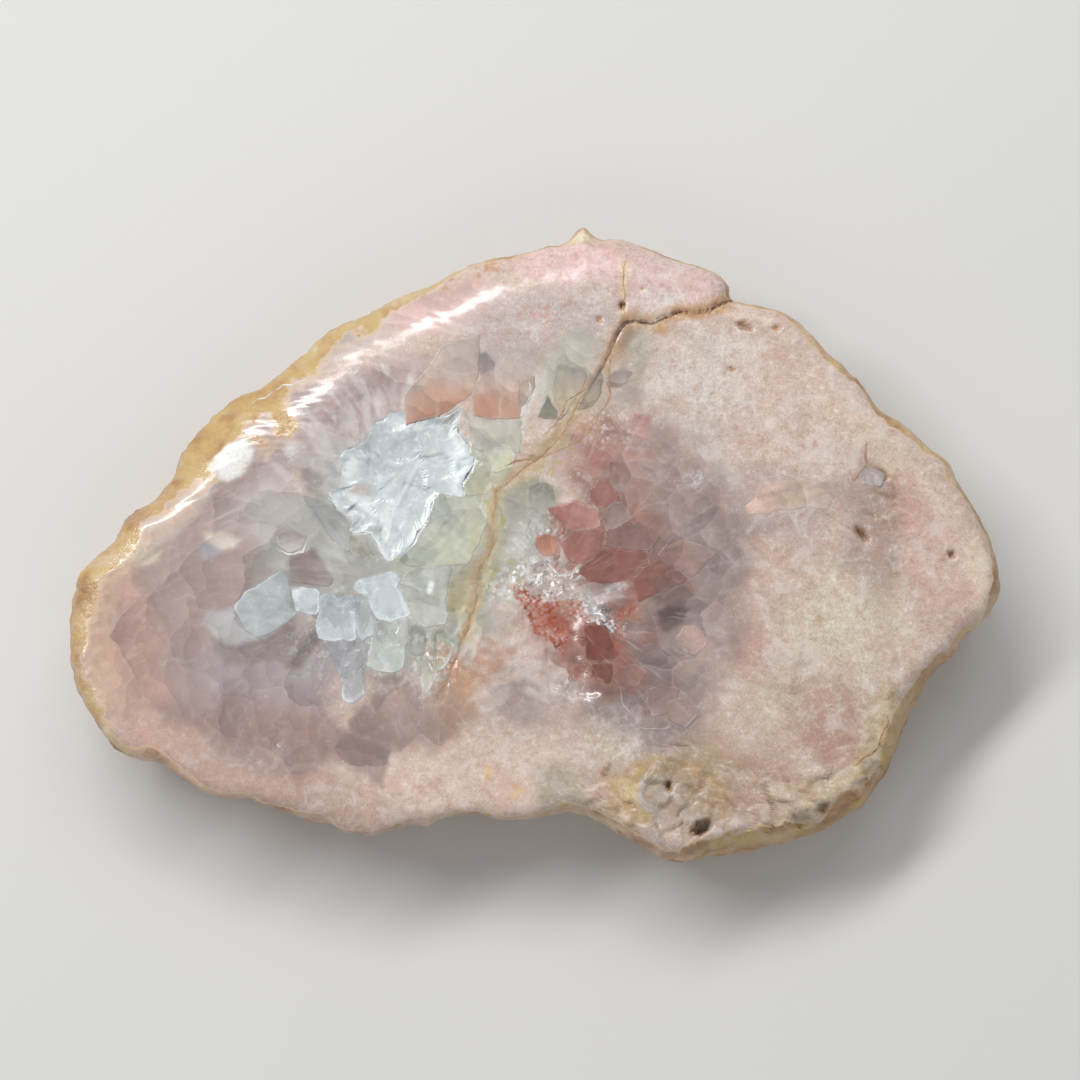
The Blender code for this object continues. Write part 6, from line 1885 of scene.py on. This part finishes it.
@dataclass
class Slice:
    """The whole stone as one closed mesh: face, rough side and sawn back.

    The face is a square grid bent onto the outline: the square's concentric rings become
    circles, and each circle is stretched to the rim in its own direction. The side is the rim
    carried down in rings, and the back is a flat fan.
    """

    shape: FaceShape
    painter: FacePainter
    material: bpy.types.Material
    shift: np.ndarray
    grid: int = 284
    levels: int = 14
    rind_waves: tuple[tuple[float, float, float, float], ...] = (
        (7, 0.25, 0.45, 0.3), (13, -0.35, 0.4, 1.9), (19, 0.5, 0.35, 4.1), (29, -0.6, 0.25, 2.6),
        (41, 0.8, 0.2, 5.2),
    )
    rind_rough: float = 0.35
    back_inset: float = 0.004
    side_tint: str = "CBB0A5"

    def face_places(self) -> np.ndarray:
        """The grid's places in the plane, row by row.

        A square's point (a, b) goes to the disc at radius max(|a|, |b|), at an angle that runs
        evenly round that square; then its radius is scaled by the rim's reach at that angle.
        """
        line = np.linspace(-1.0, 1.0, self.grid)
        a, b = np.meshgrid(line, line)
        wide = np.abs(a) >= np.abs(b)
        radius = np.where(wide, a, b)
        safe = np.where(np.abs(radius) < 1e-12, 1.0, radius)
        angle = np.where(wide, math.pi / 4.0 * b / safe, math.pi / 2.0 - math.pi / 4.0 * a / safe)
        disc = np.stack([radius * np.cos(angle), radius * np.sin(angle)], axis=-1).reshape(-1, 2)
        spread = np.hypot(disc[:, 0], disc[:, 1])
        reach = self.shape.rim.reach(np.degrees(np.arctan2(disc[:, 1], disc[:, 0])))
        unit = disc / np.maximum(spread, 1e-12)[:, None]
        return np.array(self.shape.rim.heart) + unit * (spread * reach)[:, None]

    def rim_loop(self) -> np.ndarray:
        """The grid's border as vertex numbers, anticlockwise."""
        last = self.grid - 1
        run = np.arange(last)
        back = last - run
        right, top = run * self.grid + last, last * self.grid + back
        return np.concatenate([right, top, back * self.grid, run])

    def rind_lump(self, directions: np.ndarray, heights: np.ndarray) -> np.ndarray:
        """How far the side stands out: a few waves that run round it and lean with height."""
        angle = np.radians(directions)
        return sum(
            size * np.sin(turns * angle + tilt * heights + phase)
            for turns, tilt, size, phase in self.rind_waves
        )

    def side_ring(self, rim_places: np.ndarray, rim_heights: np.ndarray,
                  share: float) -> np.ndarray:
        """One ring of the side.

        Args:
            rim_places: the rim's places in the plane.
            rim_heights: the rim's heights.
            share: how high the ring is, from 1 at the rim to 0 at the back.

        Returns:
            The ring's points.
        """
        rim = self.shape.rim
        heart = np.array(rim.heart)
        directions = rim.directions(rim_places)
        own = np.hypot(*(rim_places - heart).T)
        soft = np.minimum(rim.reach(directions, softness=22), own)
        heights = rim_heights * share
        foot = rim.column(directions, "foot")
        inset = foot * (1.0 - share) ** 1.4 + 0.5 - self.rind_lump(directions, heights)
        settle = ease(np.array([1.0 - share]), 0.0, 0.12)[0]
        reach = own * share + soft * (1.0 - share) - np.maximum(inset, -0.4) * settle
        outward = (rim_places - heart) / own[:, None]
        spots = np.column_stack([heart + outward * reach[:, None], heights])
        rough = self.rind_rough * cloud(spots, 1.5, 163, 3) * settle
        spots[:, :2] += outward * rough[:, None]
        return spots

    def build(self) -> bpy.types.Object:
        """Builds, paints and dresses the stone.

        Returns:
            The finished object, at the origin.
        """
        places = self.face_places()
        reading = self.shape.read(places)
        heights = self.shape.height(reading)
        loop = self.rim_loop()
        count, heart = len(loop), self.shape.rim.heart
        shares = np.linspace(1.0, 0.0, self.levels + 1)[1:]
        rings = [self.side_ring(places[loop], heights[loop], share) for share in shares]
        back = rings[-1].copy()
        back[:, :2] = np.array(heart) * self.back_inset + back[:, :2] * (1.0 - self.back_inset)
        hub = np.array([[*heart, 0.0]])
        vertices = np.vstack([np.column_stack([places, heights]), *rings, back, hub]) + self.shift

        corner = (np.arange(self.grid - 1)[:, None] * self.grid + np.arange(self.grid - 1)).ravel()
        quads = [np.column_stack([corner, corner + 1, corner + self.grid + 1, corner + self.grid])]
        start, upper = self.grid**2, loop
        for ring in range(len(rings) + 1):
            lower = start + ring * count + np.arange(count)
            quads.append(np.column_stack([upper, lower, np.roll(lower, -1), np.roll(upper, -1)]))
            upper = lower
        fan = np.column_stack([np.roll(upper, -1), upper, np.full(count, len(vertices) - 1)])
        mesh = make_mesh("polished_stone", vertices * MM, [np.vstack(quads), fan], [True, False])

        paint = self.painter.paint(reading)
        sides = len(vertices) - start
        rest = {
            "side": np.full(sides, Side.RIND.value),
            "rind": np.ones(sides),
            "iron": np.append(np.tile(paint["iron"][loop], len(rings) + 1), 0.5),
            "tint": np.tile(linear(self.side_tint), (sides, 1)),
            "grow": np.zeros((sides, 3)),
        }
        rest["side"][-count - 1:] = Side.SAWN.value
        paint["side"] = np.full(start, Side.FACE.value)
        bare = np.zeros(sides)
        marks = {name: np.concatenate([on, rest.get(name, bare)]) for name, on in paint.items()}
        store(mesh, marks)
        self.lay_bake_map(mesh, vertices)
        mesh.materials.append(self.material)
        return set_down("polished_stone", mesh)

    def lay_bake_map(self, mesh: bpy.types.Mesh, vertices: np.ndarray) -> None:
        """Lays the stone out flat: face large along the top, side as two strips and back below it.

        Args:
            mesh: the stone's mesh.
            vertices: its points in millimetres.
        """
        corner = np.zeros(len(mesh.loops), dtype=np.int32)
        mesh.loops.foreach_get("vertex_index", corner)
        starts = np.zeros(len(mesh.polygons), dtype=np.int32)
        mesh.polygons.foreach_get("loop_start", starts)
        polygon = np.repeat(np.arange(len(starts)), np.diff(np.append(starts, len(corner))))
        top_count, round_count = (self.grid - 1) ** 2, self.grid * 4 - 4
        on_face = polygon < top_count
        on_back = polygon >= top_count + round_count * (self.levels + 1)
        on_wall = ~(on_face | on_back)
        spots = vertices[corner, :2]
        uv = np.zeros((len(corner), 2))
        face_scale = 0.97 / (2.0 * self.shape.half_length + 2.0)
        uv[on_face] = (0.5, 0.64) + spots[on_face] * face_scale
        back_scale = 0.24 / (2.0 * self.shape.half_width)
        uv[on_back] = (0.82, 0.145) + spots[on_back] * (-0.9 * back_scale, back_scale)
        wall_face = polygon[on_wall] - top_count
        step, level = wall_face % round_count, wall_face // round_count
        place = np.flatnonzero(on_wall) - starts[polygon[on_wall]]
        along = (step + np.isin(place, (2, 3))) / round_count
        second_row = step >= round_count // 2
        row_height = 0.13 / (self.levels + 1)
        uv[on_wall, 0] = 0.015 + (along * 2.0 - second_row) * 0.6
        uv[on_wall, 1] = 0.27 - (level + np.isin(place, (1, 2))) * row_height - 0.14 * second_row
        mesh.uv_layers.new(name="OFBake").data.foreach_set("uv", uv.astype(np.float32).ravel())


# ---------------------------------------------------------------- the studio


@dataclass(frozen=True)
class Lamp:
    """A soft rectangular light aimed at the stone: place in metres, size in metres, watts."""

    name: str
    place: tuple[float, float, float]
    size: tuple[float, float]
    power: float


@dataclass
class Studio:
    """A pale floor, soft lights and a camera that looks down on the polished face."""

    lens_aim: tuple[float, float, float] = (0.535, -0.545, 13.0)
    elevation: float = 80.0
    distance: float = 520.0
    pixel: float = 0.125
    frame_pixels: int = 1080
    sensor: float = 36.0
    lamps: tuple[Lamp, ...] = (
        Lamp("rear_softbox", (0.25, 0.75, 0.85), (0.5, 0.4), 1.7),
        Lamp("shoulder_strip", (-0.36, 0.40, 0.64), (0.8, 0.14), 5.6),
        Lamp("front_fill", (0.2, -0.8, 0.7), (0.8, 0.5), 1.2),
    )

    def build_floor(self) -> bpy.types.Object:
        """A plain pale floor that the stone rests on."""
        mesh = bpy.data.meshes.new("pale_floor")
        corners = [(x, y, 0.0) for x, y in ((-1.5, -1.5), (1.5, -1.5), (1.5, 1.5), (-1.5, 1.5))]
        mesh.from_pydata(corners, [], [(0, 1, 2, 3)])
        material = bpy.data.materials.new("matte_pale_floor")
        material.use_nodes = True
        values = {"Base Color": (*linear("D9D8D6"), 1.0), "Roughness": 0.8}
        dress(material.node_tree, material.node_tree.nodes["Principled BSDF"], values)
        mesh.materials.append(material)
        return set_down("pale_floor", mesh)

    def build_lamps(self) -> None:
        """The soft lights, each turned to face the stone."""
        for lamp in self.lamps:
            data = bpy.data.lights.new(lamp.name, "AREA")
            data.shape, data.energy = "RECTANGLE", lamp.power
            data.size, data.size_y = lamp.size
            light = set_down(lamp.name, data)
            light.location = lamp.place
            light.rotation_euler = (-Vector(lamp.place)).to_track_quat("-Z", "Y").to_euler()

    def build_world(self) -> None:
        """An even pale surround, so that the gloss has something to mirror."""
        world = bpy.data.worlds.new("soft_studio")
        world.use_nodes = True
        values = {"Color": (*linear("F0F2F5"), 1.0), "Strength": 0.37}
        dress(world.node_tree, world.node_tree.nodes["Background"], values)
        bpy.context.scene.world = world

    def build_camera(self) -> None:
        """The camera: its lens makes one pixel of the frame as wide as the given millimetres."""
        data = bpy.data.cameras.new("slice_camera")
        data.sensor_width, data.clip_start = self.sensor, 0.01
        data.lens = self.sensor * self.distance / (self.pixel * self.frame_pixels)
        camera = set_down("slice_camera", data)
        tilt, aim = math.radians(self.elevation), Vector(self.lens_aim)
        place = aim + self.distance * Vector((0.0, -math.cos(tilt), math.sin(tilt)))
        camera.location = place * MM
        camera.rotation_euler = (aim - place).to_track_quat("-Z", "Y").to_euler()
        bpy.context.scene.camera = camera


def main() -> None:
    """Builds the stone and its studio, and reports each piece."""
    logging.basicConfig(level=logging.INFO, format="%(message)s")
    shape = FaceShape(Rim())
    middle = (shape.rim.curve.min(axis=0) + shape.rim.curve.max(axis=0)) / 2.0
    shift = np.array([-middle[0], -middle[1], 0.0])
    amethyst, clear_quartz = AmethystFinish().build(), ClearQuartzFinish().build()
    stone = Slice(shape, FacePainter(shape), amethyst, shift).build()
    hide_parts(NODE)

    cut, clear, veins = Gathering(), Gathering(), Gathering()
    crystals, points, ribbons = CutCrystals(shape), QuartzPoints(shape), VeinAndPaintedLightRibbons(shape)
    for seed, shard in enumerate(SHARDS.values()):
        if shard.is_crisp:
            crystals.add(cut, shard, seed)
    # Painted highlights: each glint is three small white quartz points.
    for seed, (x, y, size) in enumerate(WHITE_GLINTS, 400):
        glint = PointBed((x, y), (0.35, 0.35), 0.0, 3, (size * 0.9, size * 1.8), "F6F8F8")
        points.add(clear, glint, seed)
    for seed, bed in enumerate(POINT_BEDS, 300):
        points.add(clear, bed, seed)
    for line in LINES.values():
        if not line.is_soft:
            ribbons.add(veins, line)
    for piece in (
        stone,
        cut.build("cut_crystals", amethyst, shift, smooth=True),
        clear.build("quartz_points_and_painted_glints", clear_quartz, shift),
        veins.build("vein_ribbons_and_painted_light", amethyst, shift),
    ):
        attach(piece, "root")
        LOG.info("%s: %d faces", piece.name, len(piece.data.polygons))
    studio = Studio()
    studio.build_floor()
    studio.build_lamps()
    studio.build_world()
    studio.build_camera()
    bpy.context.scene.view_settings.view_transform = "Standard"
    LOG.info("studio: %d lights", len(studio.lamps))


if __name__ == "__main__":
    main()
